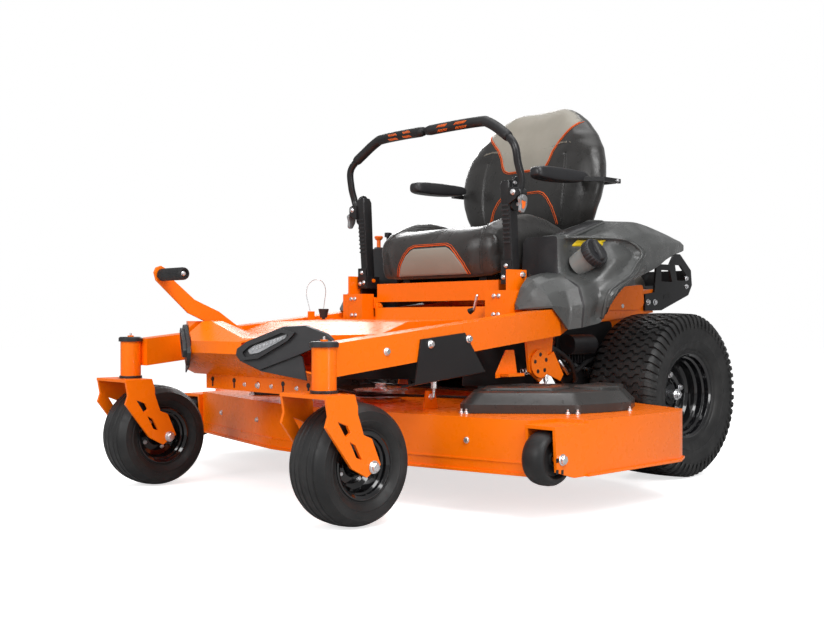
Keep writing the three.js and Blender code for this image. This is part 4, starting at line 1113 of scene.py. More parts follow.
# ------------------------------------------------------------------ fenders with tank and consoles
# |x| and z of nine corners at each y: inner bottom, rail top, skirt inside, skirt edge, lower bulge,
# flank, foot of the wall, shoulder, inner top.
FENDER_FRONT = [
    (-64, 364, 501, 368, 501, 370, 501, 376, 501, 380, 503, 379, 507, 374, 511, 369, 515, 364, 517),
    (-40, 364, 503, 412, 503, 414, 503, 416, 503, 418, 508, 410, 525, 396, 545, 380, 558, 364, 565),
    (-14, 364, 506, 453, 506, 454.5, 506, 456, 506, 457, 512, 436, 540, 404, 572, 384, 586, 364, 592),
    (20, 364, 509, 454, 509, 455, 475, 460, 474, 463, 508, 446, 550, 410, 586, 388, 597, 364, 600),
    (45, 364, 512, 454, 512, 455, 447, 464, 446, 470, 505, 456, 555, 416, 592, 388, 602, 364, 605),
    (74, 364, 515, 454, 515, 455, 451, 486, 451, 492, 510, 474, 564, 414, 602, 388, 606, 364, 608),
]
FENDER_REAR = [
    (76, 270, 516, 454, 516, 456, 452, 490, 452, 498, 512, 480, 568, 402, 606, 400, 712, 270, 712),
    (118, 270, 520, 454, 520, 456, 458, 502, 461, 522, 522, 506, 576, 432, 612, 420, 713, 270, 713),
    (140, 270, 523, 454, 523, 456, 463, 506, 468, 532, 535, 516, 590, 446, 622, 436, 714, 270, 714),
    (165, 270, 526, 452, 526, 456, 488, 504, 492, 540, 550, 528, 610, 470, 650, 450, 715, 270, 715),
    (207, 270, 531, 448, 531, 456, 530, 500, 534, 546, 575, 542, 640, 505, 690, 460, 724, 270, 728),
    (250, 270, 540, 440, 545, 450, 556, 494, 560, 548, 600, 548, 660, 515, 706, 462, 738, 270, 748),
    (297, 290, 560, 430, 570, 440, 578, 486, 582, 540, 620, 545, 672, 510, 716, 455, 752, 290, 765),
    (350, 300, 590, 420, 594, 430, 598, 492, 602, 526, 616, 530, 690, 508, 728, 462, 764, 300, 778),
    (430, 300, 615, 410, 620, 420, 622, 482, 626, 508, 638, 510, 700, 492, 728, 452, 760, 300, 780),
    (500, 306, 640, 400, 644, 410, 646, 466, 650, 486, 659, 489, 706, 474, 726, 440, 752, 306, 774),
    (600, 300, 665, 380, 670, 390, 671, 436, 674, 452, 680, 455, 714, 444, 726, 420, 740, 300, 753),
    (690, 300, 682, 360, 685, 365, 686, 404, 689, 414, 694, 415, 718, 408, 725, 392, 731, 300, 738),
    (724, 300, 688, 350, 690, 352, 691, 392, 694, 400, 698, 400, 715, 394, 720, 382, 724, 300, 729),
]
FENDER_CUTS = (2, 4, 2, 6, 7, 8, 12, 10, 3)
FENDER_STEP = 7.0
# The raised frame around the filler recess, as (y, z) seen from the side.
RECESS = [(40, 700), (100, 707), (156, 709), (228, 706), (262, 696), (280, 672), (276, 650), (254, 628),
          (222, 597), (178, 572), (150, 550), (142, 520), (147, 470), (40, 455)]
RECESS_DEPTH = 26


def spline_rows(rows, step, tension=1.0):
    """Rows of numbers joined by their first column, repeated every `step` of it; 0 tension is straight."""
    result = []
    for i in range(len(rows) - 1):
        a, b, c, d = rows[max(i - 1, 0)], rows[i], rows[i + 1], rows[min(i + 2, len(rows) - 1)]
        count = max(1, round((c[0] - b[0]) / step))
        for k in range(count):
            t = k / count
            values = [b[0] + (c[0] - b[0]) * t]
            for p, q, r, s in zip(a[1:], b[1:], c[1:], d[1:]):
                before = (r - p) * (c[0] - b[0]) / max(c[0] - a[0], 1e-6) * tension + (r - q) * (1 - tension)
                after = (s - q) * (c[0] - b[0]) / max(d[0] - b[0], 1e-6) * tension + (r - q) * (1 - tension)
                values.append(q * (2 * t ** 3 - 3 * t * t + 1) + before * (t ** 3 - 2 * t * t + t)
                              + r * (3 * t * t - 2 * t ** 3) + after * (t ** 3 - t * t))
            result.append(values)
    result.append(list(rows[-1]))
    return result


def inside_distance(y, z, outline):
    """How far inside an outline a point lies; negative outside it."""
    inside = False
    nearest = 1e9
    for (ay, az), (by, bz) in zip(outline, outline[1:] + outline[:1]):
        if (az > z) != (bz > z) and y < ay + (by - ay) * (z - az) / (bz - az):
            inside = not inside
        edge = Vector((by - ay, bz - az))
        share = min(1, max(0, Vector((y - ay, z - az)).dot(edge) / edge.length_squared))
        nearest = min(nearest, (Vector((y - ay, z - az)) - edge * share).length)
    return nearest if inside else -nearest


def fender_ring(values, sign):
    y = values[0]
    corners = [Vector((values[i], values[i + 1])) for i in range(1, 19, 2)]
    ring = []
    for i, cuts in enumerate(FENDER_CUTS):
        start, end = corners[i], corners[(i + 1) % len(corners)]
        for k in range(cuts):
            x, z = start.lerp(end, k / cuts)
            if 3 <= i <= 6 and y > 78:
                depth = RECESS_DEPTH * smoothstep((inside_distance(y, z, RECESS) + 2) / 12)
                x -= depth * smoothstep((y - 78) / 60) * smoothstep((z - 452) / 30)
            ring.append((sign * x, y, z))
    return ring


def relax_rings(rings, passes, keep):
    """Rounds the corners of each ring a little; `keep` are the numbers of points that stay."""
    for _ in range(passes):
        for ring in rings:
            count = len(ring)
            old = [Vector(p) for p in ring]
            for i in range(count):
                if i not in keep:
                    ring[i] = tuple(old[i] * 0.5 + (old[i - 1] + old[(i + 1) % count]) * 0.25)
    return rings


def fender_shell(side, sign):
    ledge = [fender_ring(values, sign) for values in spline_rows(FENDER_FRONT, FENDER_STEP, 0.0)]
    body = [fender_ring(values, sign) for values in spline_rows(FENDER_REAR, FENDER_STEP, 0.8)]
    relax_rings(body, 1, set(range(0, 9)))
    shell = Solid(GREY).skin(ledge + body)
    # Painted shade: the forward-facing step wall between the ledge and the raised body gets the black
    # plastic, so the grey moulding reads dark there.
    wall = shell.index(DARK)
    for face in shell.mesh.faces:
        if all(FENDER_FRONT[-1][0] - 0.5 < v.co.y < FENDER_REAR[0][0] + 0.5 for v in face.verts):
            face.material_index = wall
    return shell.place(f"fender_shell_{side}", "chassis", "grey_plastic", 2.5, 2, [f"fender_{side}"], 24)


def fender_trim(side, sign, shell):
    tree = surface_of(shell)
    trim = Solid(GREY, DARK, YELLOW)
    inward = (-sign, 0, 0)

    def dropped(points, lift):
        return project(tree, [(sign * 600, y, z) for y, z in points], inward, lift)

    frame_line = smooth_path([(y, z, 0) for y, z in RECESS[1:13]], 5)
    trim.sweep(dropped([(p.x, p.y) for p in frame_line], 0.0), 4.6, 0, 10, 1)
    outer = [(y + 13 * (z < 690) + 3, z + 4 * (z > 690)) for y, z in RECESS[3:13]]
    outer_line = smooth_path([(y, z, 0) for y, z in outer], 5)
    trim.sweep(dropped([(p.x, p.y) for p in outer_line], 0.4), 2.2, 0, 8, 1)
    front = 130 if side == "left" else 204
    tray = rounded([(290, front), (392, front), (386, 330), (296, 330)], 34, 6)
    top = project(tree, [(sign * x, y, 900) for x, y in tray + tray[:1]], (0, 0, -1), 1.0)
    trim.sweep(top, 5.0, 0, 10, 1)
    inner = rounded([(298, front + 8), (384, front + 8), (379, 322), (303, 322)], 28, 6)
    floor = project(tree, [(sign * x, y, 900) for x, y in inner], (0, 0, -1), 0.6)
    trim.skin([[p for p in floor], [p + Vector((0, 0, 2.4)) for p in floor]], 1)
    if side == "left":
        rows = [[(sign * 600, 132 + 8 * i + (z - 684) * 0.6, z) for i in range(9)]
                for z in (684, 690, 696, 702)]
        body = [project(tree, row, inward, 0.8) for row in rows]
        trim.skin([row + [p + Vector(inward) * 2 for p in reversed(row)] for row in body], 2)
    trim.place(f"fender_trim_{side}", "chassis", "grey_plastic", 0)


def filler():
    """Translucent tank neck with its threaded collar, and the ribbed vented cap."""
    tilt = Matrix.Rotation(1.05, 3, "Y")
    centre = Vector((CAP["x"], CAP["y"], CAP["z"]))

    def turned(profile, sides):
        """Rings round the leaning axis, from pairs of a radius rule and a height."""
        rings = []
        for radius_at, height in profile:
            ring = []
            for i in range(sides):
                a = math.tau * i / sides
                r = radius_at(i)
                ring.append(centre + tilt @ Vector((r * math.cos(a), r * math.sin(a), height)))
            rings.append(ring)
        return rings

    def plain(profile):
        return [(lambda i, r=r: r, h) for r, h in profile]

    neck = Solid(NECK)
    neck.skin(turned(plain([(33, -64), (33.5, -40), (34, -14), (38, -13), (38, -9.6)]), 48), 0)
    neck.place("tank_neck", "chassis", "grey_plastic", 0.6)
    cap = Solid(DARK)
    outline = [(41, -8.4), (42, -6), (42, 12), (40, 16), (37, 17.4), (34, 16)]
    ribbed = [(lambda i, r=r, j=j: r - (1.3 if i % 5 in (0, 1) and 0 < j < 4 else 0.0), h)
              for j, (r, h) in enumerate(outline)]
    cap.skin(turned(ribbed, 120))
    grip = rounded([(-34, -8), (34, -8), (34, 8), (-34, 8)], 7, 4)
    cap.skin([[centre + tilt @ Vector((u * s, v * s, h)) for u, v in grip]
              for h, s in ((15, 1.0), (25, 0.96), (28, 0.86))])
    cap.skin(turned(plain([(14, 16), (14, 19), (12, 20)]), 24), 0)
    cap.place("filler_cap", "fuel_cap", "black_plastic", 0.7, 2, ["fuel_cap"])


def add_fenders():
    for side, sign in SIDES.items():
        fender_trim(side, sign, fender_shell(side, sign))
        if side == "left":
            filler()


add_fenders()


# ------------------------------------------------------------------ nose, lamps, pedal, frame hardware
NOSE_CORNER = (105.4, -806.4)
NOSE_RUN = (0.883, 0.469)
NOSE_OUT = (0.469, -0.883)


def on_nose(sign, s, z, out):
    x = NOSE_CORNER[0] + NOSE_RUN[0] * s + NOSE_OUT[0] * out
    y = NOSE_CORNER[1] + NOSE_RUN[1] * s + NOSE_OUT[1] * out
    return (sign * x, y, z)


def headlight(side, sign):
    """Faceted black lamp pod with a raised bezel around a recessed strip of lamps."""
    pod = Solid(DARK, GLOSS_BLACK, LAMP, STEEL)
    upper = [(-2, 386), (1, 402), (30, 421), (128, 458), (190, 461), (246, 440), (262, 425), (205, 402),
             (160, 384), (66, 350), (10, 371)]
    lower = [(10, 371), (66, 347), (166, 330), (190, 326), (178, 384), (150, 404), (60, 400)]
    for outline, depth in ((upper, 11), (lower, 4)):
        middle = Vector((sum(s for s, _ in outline), sum(z for _, z in outline))) / len(outline)
        front = grown(outline, middle, 0.97)
        pod.hull([on_nose(sign, s, z, 1) for s, z in outline]
                 + [on_nose(sign, s, z, depth) for s, z in front])
    bezel = rounded([(11, 394), (38, 418), (130, 452), (165, 443), (146, 423), (66, 379), (20, 374)], 4, 3)
    inner = rounded([(24, 394), (44, 410), (130, 442), (148, 438), (136, 424), (66, 388), (30, 382)], 3, 3)
    pod.skin([[on_nose(sign, s, z, out) for s, z in line]
              for line, out in ((bezel, 10.5), (bezel, 21), (inner, 21), (inner, 13))], 0)
    glass = rounded([(36, 399), (52, 410), (142, 439), (137, 429), (65, 393), (42, 389)], 3, 3)
    pod.skin([[on_nose(sign, s, z, out) for s, z in glass] for out in (12, 14.6)], 2)
    chip = ((-3.2, -5.2), (3.2, -2.8), (3.2, 4.8), (-3.2, 2.4))
    for i in range(9):
        s, z = 52 + 9.4 * i, 401 + 3.55 * i
        pod.skin([[on_nose(sign, s + a, z + b, out) for a, b in chip] for out in (14.4, 15.8)], 3)
    pod.place(f"headlight_pod_{side}", "chassis", "black_plastic", 1.2, 2, [f"headlight_housing_{side}"])


def spindle_collar(side, sign):
    """Rubber ring round the foot of the caster spindle tube and the seal above it."""
    x, y = sign * CASTER["x"], CASTER["spindle_y"]
    kit = Solid(DARK)
    kit.lathe("z", [(16, 299.6), (33, 299.6), (33, 300.4), (16, 300.4)], (x, y, 8.4), 0, 40)
    kit.lathe("z", [(28.6, 309.4), (31.4, 309.4), (31.8, 312), (31.4, 315), (28.6, 315)], (x, y, 0), 0, 40)
    kit.place(f"spindle_collar_{side}", "chassis", "black_plastic", 0.5)


def foot_peg():
    """Knurled rubber foot peg with its end bolts, and the bolts of the pedal's pivot."""
    x, y, z = PEDAL["x"], PEDAL["peg_y"], PEDAL["peg_z"]
    start = x + 4.4
    peg = Solid(HOSE_AND_HOLE_SHADE)
    rings = []
    for along, radius in ((0, 14), (2, 16.5), (106, 16.5), (110, 15), (111, 11), (105, 10)):
        ring = []
        for i in range(72):
            a = math.tau * i / 72
            r = radius - (0.9 if i % 3 == 0 and 0 < along < 108 else 0)
            ring.append((start + along, y + r * math.cos(a), z + r * math.sin(a)))
        rings.append(ring)
    peg.skin(rings)
    zinc = peg.index(ZINC)
    peg.bolt((start + 105, y, z), (1, 0, 0), 5.5, zinc)
    peg.bolt((x - 4, y, z), (-1, 0, 0), 7, zinc)
    for way in (1, -1):
        peg.bolt((x + way * 31, PEDAL["pivot_y"], PEDAL["pivot_z"]), (way, 0, 0), 9, zinc)
    peg.place("foot_peg", "lift_pedal", "black_plastic", 0.4, 2, ["pedal_peg"])


def frame_bolts():
    """Bolt heads on the frame, and dark sheets painted as the shade in the nose plate's keyholes and in one
    slot in the left rail.
    """
    kit = Solid(ZINC)
    for sign in (-1, 1):
        for x, z in ((300, 540), (318, 540), (298, 488), (316, 488)):
            kit.bolt((sign * x, -80.2, z), (0, -1, 0), 5.5)
        for y, z in ((-345, 425), (-480, 414)):
            kit.bolt((sign * 455.2, y, z), (sign, 0, 0), 8.5)
        for y in (-620, 350, 480):
            edge = 450 if y < 0 else 330
            kit.bolt((sign * edge, y, rail_top(y) - 38), (sign, 0, 0), 8)
        for y, z in ((-30, 345), (0, 318), (30, 345), (0, 372)):
            kit.bolt((sign * 400.2, y, z), (sign, 0, 0), 6.5)
        for y, z in ((612, 530), (650, 530)):
            kit.bolt((sign * 339.2, y, z), (sign, 0, 0), 8)
        kit.bolt((sign * 262.2, -21, 515), (sign, 0, 0), 7)
    for x in (-60, 0, 60, 168):
        kit.bolt((x, -670.3, 301), (0, -1, 0), 5 if x else 7)
    # Dark sheets painted as the shade that fills the keyholes and the rail slot.
    shade = kit.index(HOSE_AND_HOLE_SHADE)
    for x in (-215, -110, 110, 215):
        keyhole = [(x - 2.5, 289), (x + 2.5, 289), (x + 2.5, 303), (x + 7, 307), (x + 7, 312), (x + 3, 316),
                   (x - 3, 316), (x - 7, 312), (x - 7, 307), (x - 2.5, 303)]
        kit.prism("y", keyhole, -671.2, -669.9, shade)
    kit.prism("x", rounded([(700, 540), (742, 548), (742, 562), (700, 554)], 6, 4), 338.9, 339.8, shade)
    kit.place("frame_fasteners", "chassis", "steel", 0.3, 1)


def frame_plates():
    """Small orange plates: seat-base gussets, lift quadrant, axle guard and pillar tie."""
    plates = Solid(ORANGE)
    for sign in (-1, 1):
        gusset = [(250, 500), (262, 552), (300, 562), (590, 586), (596, 520), (560, 505)]
        plates.prism("x", rounded(gusset, 14, 4), *span(sign, 331, 336))
        plates.prism("x", circle(40, *LIFT_SHAFT, 28), *span(sign, 403, 408))
        plates.prism("x", [(28, 372), (52, 384), (96, 318), (82, 300), (22, 322)], *span(sign, 403, 407))
        plates.box(*span(sign, 408, 440), -175, -112, 322, 330)
        plates.prism("x", [(-190, 330), (-150, 392), (-118, 392), (-104, 322), (-190, 318)],
                     *span(sign, 404, 408))
        # Dark discs painted as the shade inside the lift quadrant's five holes.
        hole_shade = plates.index(HOSE_AND_HOLE_SHADE)
        for a in range(5):
            angle = math.tau * a / 5 + 0.4
            spot = (LIFT_SHAFT[0] + 25 * math.cos(angle), LIFT_SHAFT[1] + 25 * math.sin(angle))
            plates.rod("x", 6, *span(sign, 407.6, 408.5), spot, hole_shade, 16)
    plates.place("frame_plates", "chassis", "orange_paint", 1.0)


def lift_links():
    """Gas strut, hydraulic lines and return springs inside each rail."""
    links = Solid(HOSE_AND_HOLE_SHADE)
    steel, black = links.index(ZINC), links.index(BLACK)
    for sign in (-1, 1):
        links.bar((sign * 372, 60, 412), (sign * 372, 112, 362), 11, black, 16)
        links.bar((sign * 372, 112, 362), (sign * 372, 160, 316), 5, steel, 12)
        for line in (((350, 40, 400), (366, 96, 392), (372, 168, 352), (356, 214, 300), (320, 250, 292)),
                     ((330, 60, 380), (346, 130, 366), (338, 200, 330), (300, 260, 310))):
            links.sweep([(sign * x, y, z) for x, y, z in line], 7, 0, 10)
        coil = [(sign * (382 + 8 * math.cos(t * 0.7)), -60 + t * 1.5, 330 + 8 * math.sin(t * 0.7))
                for t in range(80)]
        links.sweep(coil, 1.3, steel, 6, 1)
    links.place("lift_links", "chassis", "black_paint", 0)


def latch():
    """Seat latch: a bright handle with a black knob beside the pan."""
    part = Solid(ZINC)
    part.sweep([(224, -82, 500), (232, -84, 520), (240, -84, 545)], 4, 0, 12)
    part.sweep([(224, -83, 503), (210, -84, 497)], lambda share: 6 + 3 * share, part.index(HOSE_AND_HOLE_SHADE), 14)
    part.place("seat_latch", "chassis", "steel", 0)


def add_front():
    both_sides(headlight)
    both_sides(spindle_collar)
    foot_peg()
    frame_bolts()
    frame_plates()
    lift_links()
    latch()


add_front()


# ------------------------------------------------------------------ lap bars and levers
def lap_bar(side, sign):
    """Bent steel tube in a ribbed foam sleeve with a printed hatch, plus its knuckle."""
    x, y, z = BAR_PIVOT
    tube = [(x, y, z), (x + 13, y, z + 34), (x + 12, -46, 910), (x + 3, -53, 965), (x - 57, -44, 1012),
            (240, -39, 1040), (212, -39, 1046), (110, -47, 1046), (12, -56, 1043)]
    points = [Vector((sign * px, py, pz)) for px, py, pz in tube]
    bar = Solid(BLACK, HOSE_AND_HOLE_SHADE, ORANGE_PLASTIC, ZINC)
    bar.sweep(points, 11, 0, 18, 6)
    bar.rod("y", 15, y - 11, y + 14, (sign * x, z), 0, 28)
    line = smooth_path(points, 10)
    sleeve = line[34:]
    sleeve[-1] = Vector((sign * 7, -56.4, 1043))
    bar.sweep(sleeve, lambda share: 15.2 if 0.02 < share < 0.985 else 13.2, 1, 24, 1)
    low, high = Vector((sign * 180, -41.4, 1046)), Vector((sign * 45, -53, 1044.4))
    run = (high - low).normalized()
    dash = ((14.6, -1.3), (15.7, -1.3), (15.7, 1.3), (14.6, 1.3))
    for part, count in ((0.08, 7), (0.62, 6)):
        for k in range(count):
            spot = low.lerp(high, part + 0.045 * k)
            for turn in (-0.5, 0.45):
                ring = []
                for step in range(5):
                    a = turn + 0.13 * step
                    out = Vector((0, -math.cos(a), -math.sin(a)))
                    ring.append((spot + run * (2.2 * step), out))
                bar.skin([[p + o * r + run * w for r, w in dash] for p, o in ring], 2)
    bar.place(f"lap_bar_tube_{side}", f"lap_bar_{side}", "black_paint", 0, 2, [f"lap_bar_{side}"])


def lever_stand(side, sign):
    """Ribbed upright with its foot bracket, the outer plate and the two cheeks of the bar's hinge."""
    x, y, foot = LEVER["x"], LEVER["y"], 575

    def shifted(z):
        return y - LEVER["lean"] * (z - foot) / (LEVER["top"] - foot)

    stand = Solid(BLACK, DARK, ZINC, HOSE_AND_HOLE_SHADE)
    rings = []
    for z, half, depth in ((584, 15, 17), (700, 15, 17), (800, 17, 18), (852, 18, 18), (866, 14, 14)):
        outline = rounded([(-half, -depth), (half, -depth), (half, depth), (-half, depth)], 5, 3)
        rings.append([(sign * (x + u), shifted(z) + v, z) for u, v in outline])
    stand.skin(rings)
    for i in range(9):
        z = 690 + 13 * i
        stand.box(*span(sign, x - 13, x + 13), shifted(z) - 20.5, shifted(z) - 16, z, z + 5, 1)
    stand.box(*span(sign, x - 22, x + 22), y - 27, y + 27, 574.5, 613, 0)
    stand.box(*span(sign, x - 19, x + 19), y - 30, y - 26, 578, 640, 0)
    for px, pz in ((-10, 594), (8, 590), (0, 626)):
        stand.bolt((sign * (x + px), y - 30, pz), (0, -1, 0), 5.5, 2)
    plate = [(-46, 786), (-40, 864), (-22, 880), (-2, 876), (4, 850), (-2, 792), (-22, 778)]
    stand.prism("x", rounded(plate, 16, 5), *span(sign, x + 19, x + 24), 0)
    for turn in (0.0, 1.0):
        stand.bolt((sign * (x + 24), -20 - 12 * turn, 800 + 58 * turn), (sign, 0, 0), 5, 2)
    bar_x, bar_y, bar_z = BAR_PIVOT
    for start, end in ((-22, -12), (15, 22)):
        cheek = rounded([(x + 16, bar_z - 34), (bar_x + 13, bar_z - 16), (bar_x + 15, bar_z + 8),
                         (bar_x, bar_z + 15), (x + 16, bar_z + 14)], 7, 4)
        stand.prism("y", [(sign * u, v) for u, v in cheek], bar_y + start, bar_y + end, 0)
    stand.bolt((sign * bar_x, bar_y - 22, bar_z), (0, -1, 0), 7, 2)
    stand.place(f"lever_stand_{side}", f"lever_{side}", "black_paint", 0.8, 2, [f"lever_upright_{side}"])


def cam_lever(side, sign):
    """Cast lever that clamps the lap bar's knuckle, with its orange inlay."""
    _, bar_y, bar_z = BAR_PIVOT
    cam = Solid(ALLOY, ORANGE_PLASTIC)
    blade = rounded([(bar_z - 18, -20), (bar_z - 6, -4), (bar_z - 14, 14), (bar_z - 38, 12), (bar_z - 60, -2),
                     (bar_z - 56, -16), (bar_z - 34, -14)], 6, 4)
    outer = BAR_PIVOT[0] + 17
    cam.prism("x", [(bar_y + v - 4, u) for u, v in blade], *span(sign, outer, outer + 9), 0)
    cam.rod("x", 9, *span(sign, outer + 8, outer + 12), (bar_y - 6, bar_z - 18), 0, 20)
    cam.prism("x", [(bar_y + v * 0.5 - 6, bar_z - 38 + (u - bar_z + 38) * 0.5) for u, v in blade],
              *span(sign, outer + 8.6, outer + 10), 1)
    cam.place(f"cam_lever_{side}", f"lever_{side}", "cast_alloy", 0.8)


def dampers(side, sign):
    """Return-to-neutral damper and pump linkage behind each upright."""
    kit = Solid(BLACK, ZINC, HOSE_AND_HOLE_SHADE)
    x = sign * 350
    kit.bar((x, 8, 596), (x, 120, 560), 9, 0, 16)
    kit.bar((x, 120, 560), (x, 170, 545), 4, 1, 10)
    kit.hull([(sign * u, v, w) for u in (326, 334)
              for v, w in ((-30, 556), (40, 556), (-22, 600), (20, 600))], 0)
    kit.bolt((sign * 346.2, LEVER["y"], LEVER["pivot_z"]), (sign, 0, 0), 8, 1)
    kit.sweep([(sign * 340, 20, 560), (sign * 352, 60, 540), (sign * 358, 130, 532)], 5, 2, 10)
    kit.place(f"lever_damper_{side}", "chassis", "black_paint", 0.5)


def panel():
    """Key switch bezel, throttle slot and the blade switch's collar on the right console."""
    kit = Solid(DARK, ZINC, YELLOW)
    for (x, y), size in (((-388, 100), 15), ((-345, 105), 14)):
        kit.lathe("z", [(7, 712), (size, 712), (size, 716.5), (size - 2, 718), (7, 718)], (x, y, 0), 0, 28)
    for x0, x1, y0, y1 in ((-410, -406, 126, 176), (-386, -382, 126, 176), (-406, -386, 126, 130),
                           (-406, -386, 172, 176)):
        kit.box(x0, x1, y0, y1, 712, 717)
    kit.place("panel_bezels", "chassis", "black_plastic", 0.5)
    knob = Solid(ORANGE_PLASTIC)
    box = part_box("blade_switch_knob")
    low = (Vector(box[0]) - CENTRE) / MM
    high = (Vector(box[1]) - CENTRE) / MM
    centre = (low + high) / 2
    reach = (high.x - low.x) / 2
    profile = [(0.4, low.z), (reach * 0.45, low.z), (reach * 0.45, high.z - 16), (reach * 0.8, high.z - 12),
               (reach, high.z - 5), (reach * 0.9, high.z - 1), (0.4, high.z)]
    knob.lathe("z", profile, (centre.x, centre.y, 0), 0, 32)
    knob.place("blade_switch_cap", "blade_switch", "orange_plastic", 0.5, 2, ["blade_switch_knob"])


def add_controls():
    both_sides(lap_bar)
    for side, sign in SIDES.items():
        lever_stand(side, sign)
        cam_lever(side, sign)
    both_sides(dampers)
    panel()


add_controls()


# ------------------------------------------------------------------ deck, belt drive, chute
COVER_PLAN = [(345, -250), (440, -362), (472, -362), (668, -172), (690, -60), (690, 20), (612, 150),
              (400, 150), (345, 90)]


def belt_cover(side, sign):
    """Moulded belt cover: a thin shell with a raised crown, a stepped tail and open inner side."""
    base = DECK_TOP + 0.6

    def level(plan, radius, cuts, middle, shrink, z):
        return [(sign * x, y, z) for x, y in grown(rounded(plan, radius, cuts), middle, shrink)]

    cover = Solid(COVER, ZINC)
    cover.skin([level(COVER_PLAN, 14, 2, (520, -100), k, base + h) for k, h in (
        (0.76, 46), (0.84, 42), (0.97, 22), (0.985, 0), (1.0, 0), (1.0, 22), (0.955, 30), (0.87, 50),
        (0.8, 54))])
    crown = [(400, -230), (452, -296), (474, -296), (596, -180), (560, -60), (430, -60), (392, -110)]
    cover.skin([level(crown, 14, 3, (495, -180), k, base + h)
                for k, h in ((1.0, 51), (0.99, 57), (0.93, 61))])
    tail = [(566, -70), (652, -60), (660, 8), (606, 108), (520, 110), (540, 20)]
    cover.skin([level(tail, 12, 3, (590, 20), k, base + h)
                for k, h in ((1.0, 50), (0.99, 59), (0.92, 62))])
    for x, y in ((452, -369), (466, -366), (655, -198), (672, -180), (700, 0), (520, 158)):
        cover.bolt((sign * x, y, DECK_TOP + 0.5), (0, 0, 1), 6, 1)
        cover.rod("z", 3, DECK_TOP + 5, DECK_TOP + 12, (sign * x, y), 1, 10)
    for k in range(5):
        cover.box(*span(sign, 420 + 22 * k, 428 + 22 * k), -150, -90, base + 60.5, base + 62.5)
    cover.place(f"belt_shroud_{side}", "deck", "black_plastic", 1.2, 2, [f"belt_cover_{side}"], 28)


def deck_hardware():
    """Bolt heads on the walls, stiffener band, dark squares painted as the shade in the guide brackets'
    square holes, and hanging brackets.
    """
    kit = Solid(ZINC)
    black = kit.index(HOSE_AND_HOLE_SHADE)
    front = [(-697, -396), (-364, -469), (-150, -512), (150, -512), (364, -469), (697, -396)]
    for (ax, ay), (bx, by) in zip(front, front[1:]):
        run = Vector((bx - ax, by - ay)).normalized()
        out = Vector((run.y, -run.x, 0))
        if abs(ax + bx) > 400:
            spot = Vector(((ax + bx) / 2, (ay + by) / 2, 182)) + out * 0.3
            kit.bolt(spot, out, 6.5)
    for sign in (-1, 1):
        y, z = SCALP["y"], SCALP["z"]
        kit.bolt((sign * 787.2, y, z), (sign, 0, 0), 11)
        # Painted shade: dark squares stand for the openings of the bracket's square holes.
        for dy, dz in ((-26, 0), (-26, -26), (-8, -28)):
            kit.box(*span(sign, 786.6, 787.8), y + dy + 4, y + dy + 12, z + dz - 5, z + dz + 5, black)
    bands = Solid(ORANGE)
    for (ax, ay), (bx, by) in zip(front, front[1:]):
        run = Vector((bx - ax, by - ay)).normalized()
        out = Vector((run.y, -run.x))
        low, high = Vector((ax, ay)) + run * 2, Vector((bx, by)) - run * 2
        bands.hull([(p.x + out.x * d, p.y + out.y * d, z) for p in (low, high) for d in (0.2, 2.4)
                    for z in (136, 140)])
    for x, y in ((300, -330), (-300, -330), (300, 130), (-300, 130)):
        bands.prism("x", [(y - 26, DECK_TOP + 0.4), (y + 26, DECK_TOP + 0.4), (y + 16, 286), (y - 16, 286)],
                    x - 3, x + 3)
        kit.bolt((x + 3 if x > 0 else x - 3, y, 270), (1 if x > 0 else -1, 0, 0), 7)
    kit.place("deck_fasteners", "deck", "steel", 0.3, 1)
    bands.place("deck_bands", "deck", "orange_paint", 0.6)


def deck_links(side, sign):
    """Turnbuckles that hang the deck from the lift arms."""
    links = Solid(ZINC)
    for y in (-330, 130):
        x = sign * 312
        links.bar((x, y, 268), (x, y + 4, 338), 4.5, 0, 12)
        links.prism("z", [(x + u, y + 2 + v) for u, v in circle(8, 0, 0, 6)], 292, 316, 0)
    links.place(f"deck_hanger_{side}", "deck", "steel", 0.4)


def spindle_set(name):
    """Spindle shaft with its grooved sheave and nuts, and the blade with its raised wings."""
    x, y = SPINDLES[name]
    part = Solid(ALLOY, STEEL, ZINC)
    z = BELT_Z
    part.lathe("z", [(0.5, z - 10), (79, z - 10), (79, z - 8), (70.2, z - 4.2), (70.2, z + 4.2), (79, z + 8),
                     (79, z + 10), (72, z + 10), (62, z + 5), (30, z + 5), (26, z + 12), (0.5, z + 12)],
               (x, y, 0), 1, 56)
    part.rod("z", 13.5, 129, z + 20, (x, y), 1, 24)
    part.bolt((x, y, z + 12), (0, 0, 1), 16, 2)
    part.bolt((x, y, 119), (0, 0, -1), 14, 2)
    sections = []
    for s, half, lift in ((-263, 30, 20), (-215, 30, 14), (-180, 31, 0), (-60, 31, 0),
                          (60, 31, 0), (180, 31, 0), (215, 30, 14), (263, 30, 20)):
        way = 1 if s > 0 else -1
        raised = lift if s > 0 else 0
        sections.append([(x + s, y + v, BLADE_Z + h) for v, h in (
            (-half, 0), (way * 8, 0), (half, raised), (half, 5 + raised), (way * 8, 5.5), (-half, 3))])
    part.skin(sections, 1)
    part.place(f"blade_spindle_{name}", f"spindle_{name}", "steel", 0.4, 2,
               [f"spindle_{name}", f"blade_{name}"])


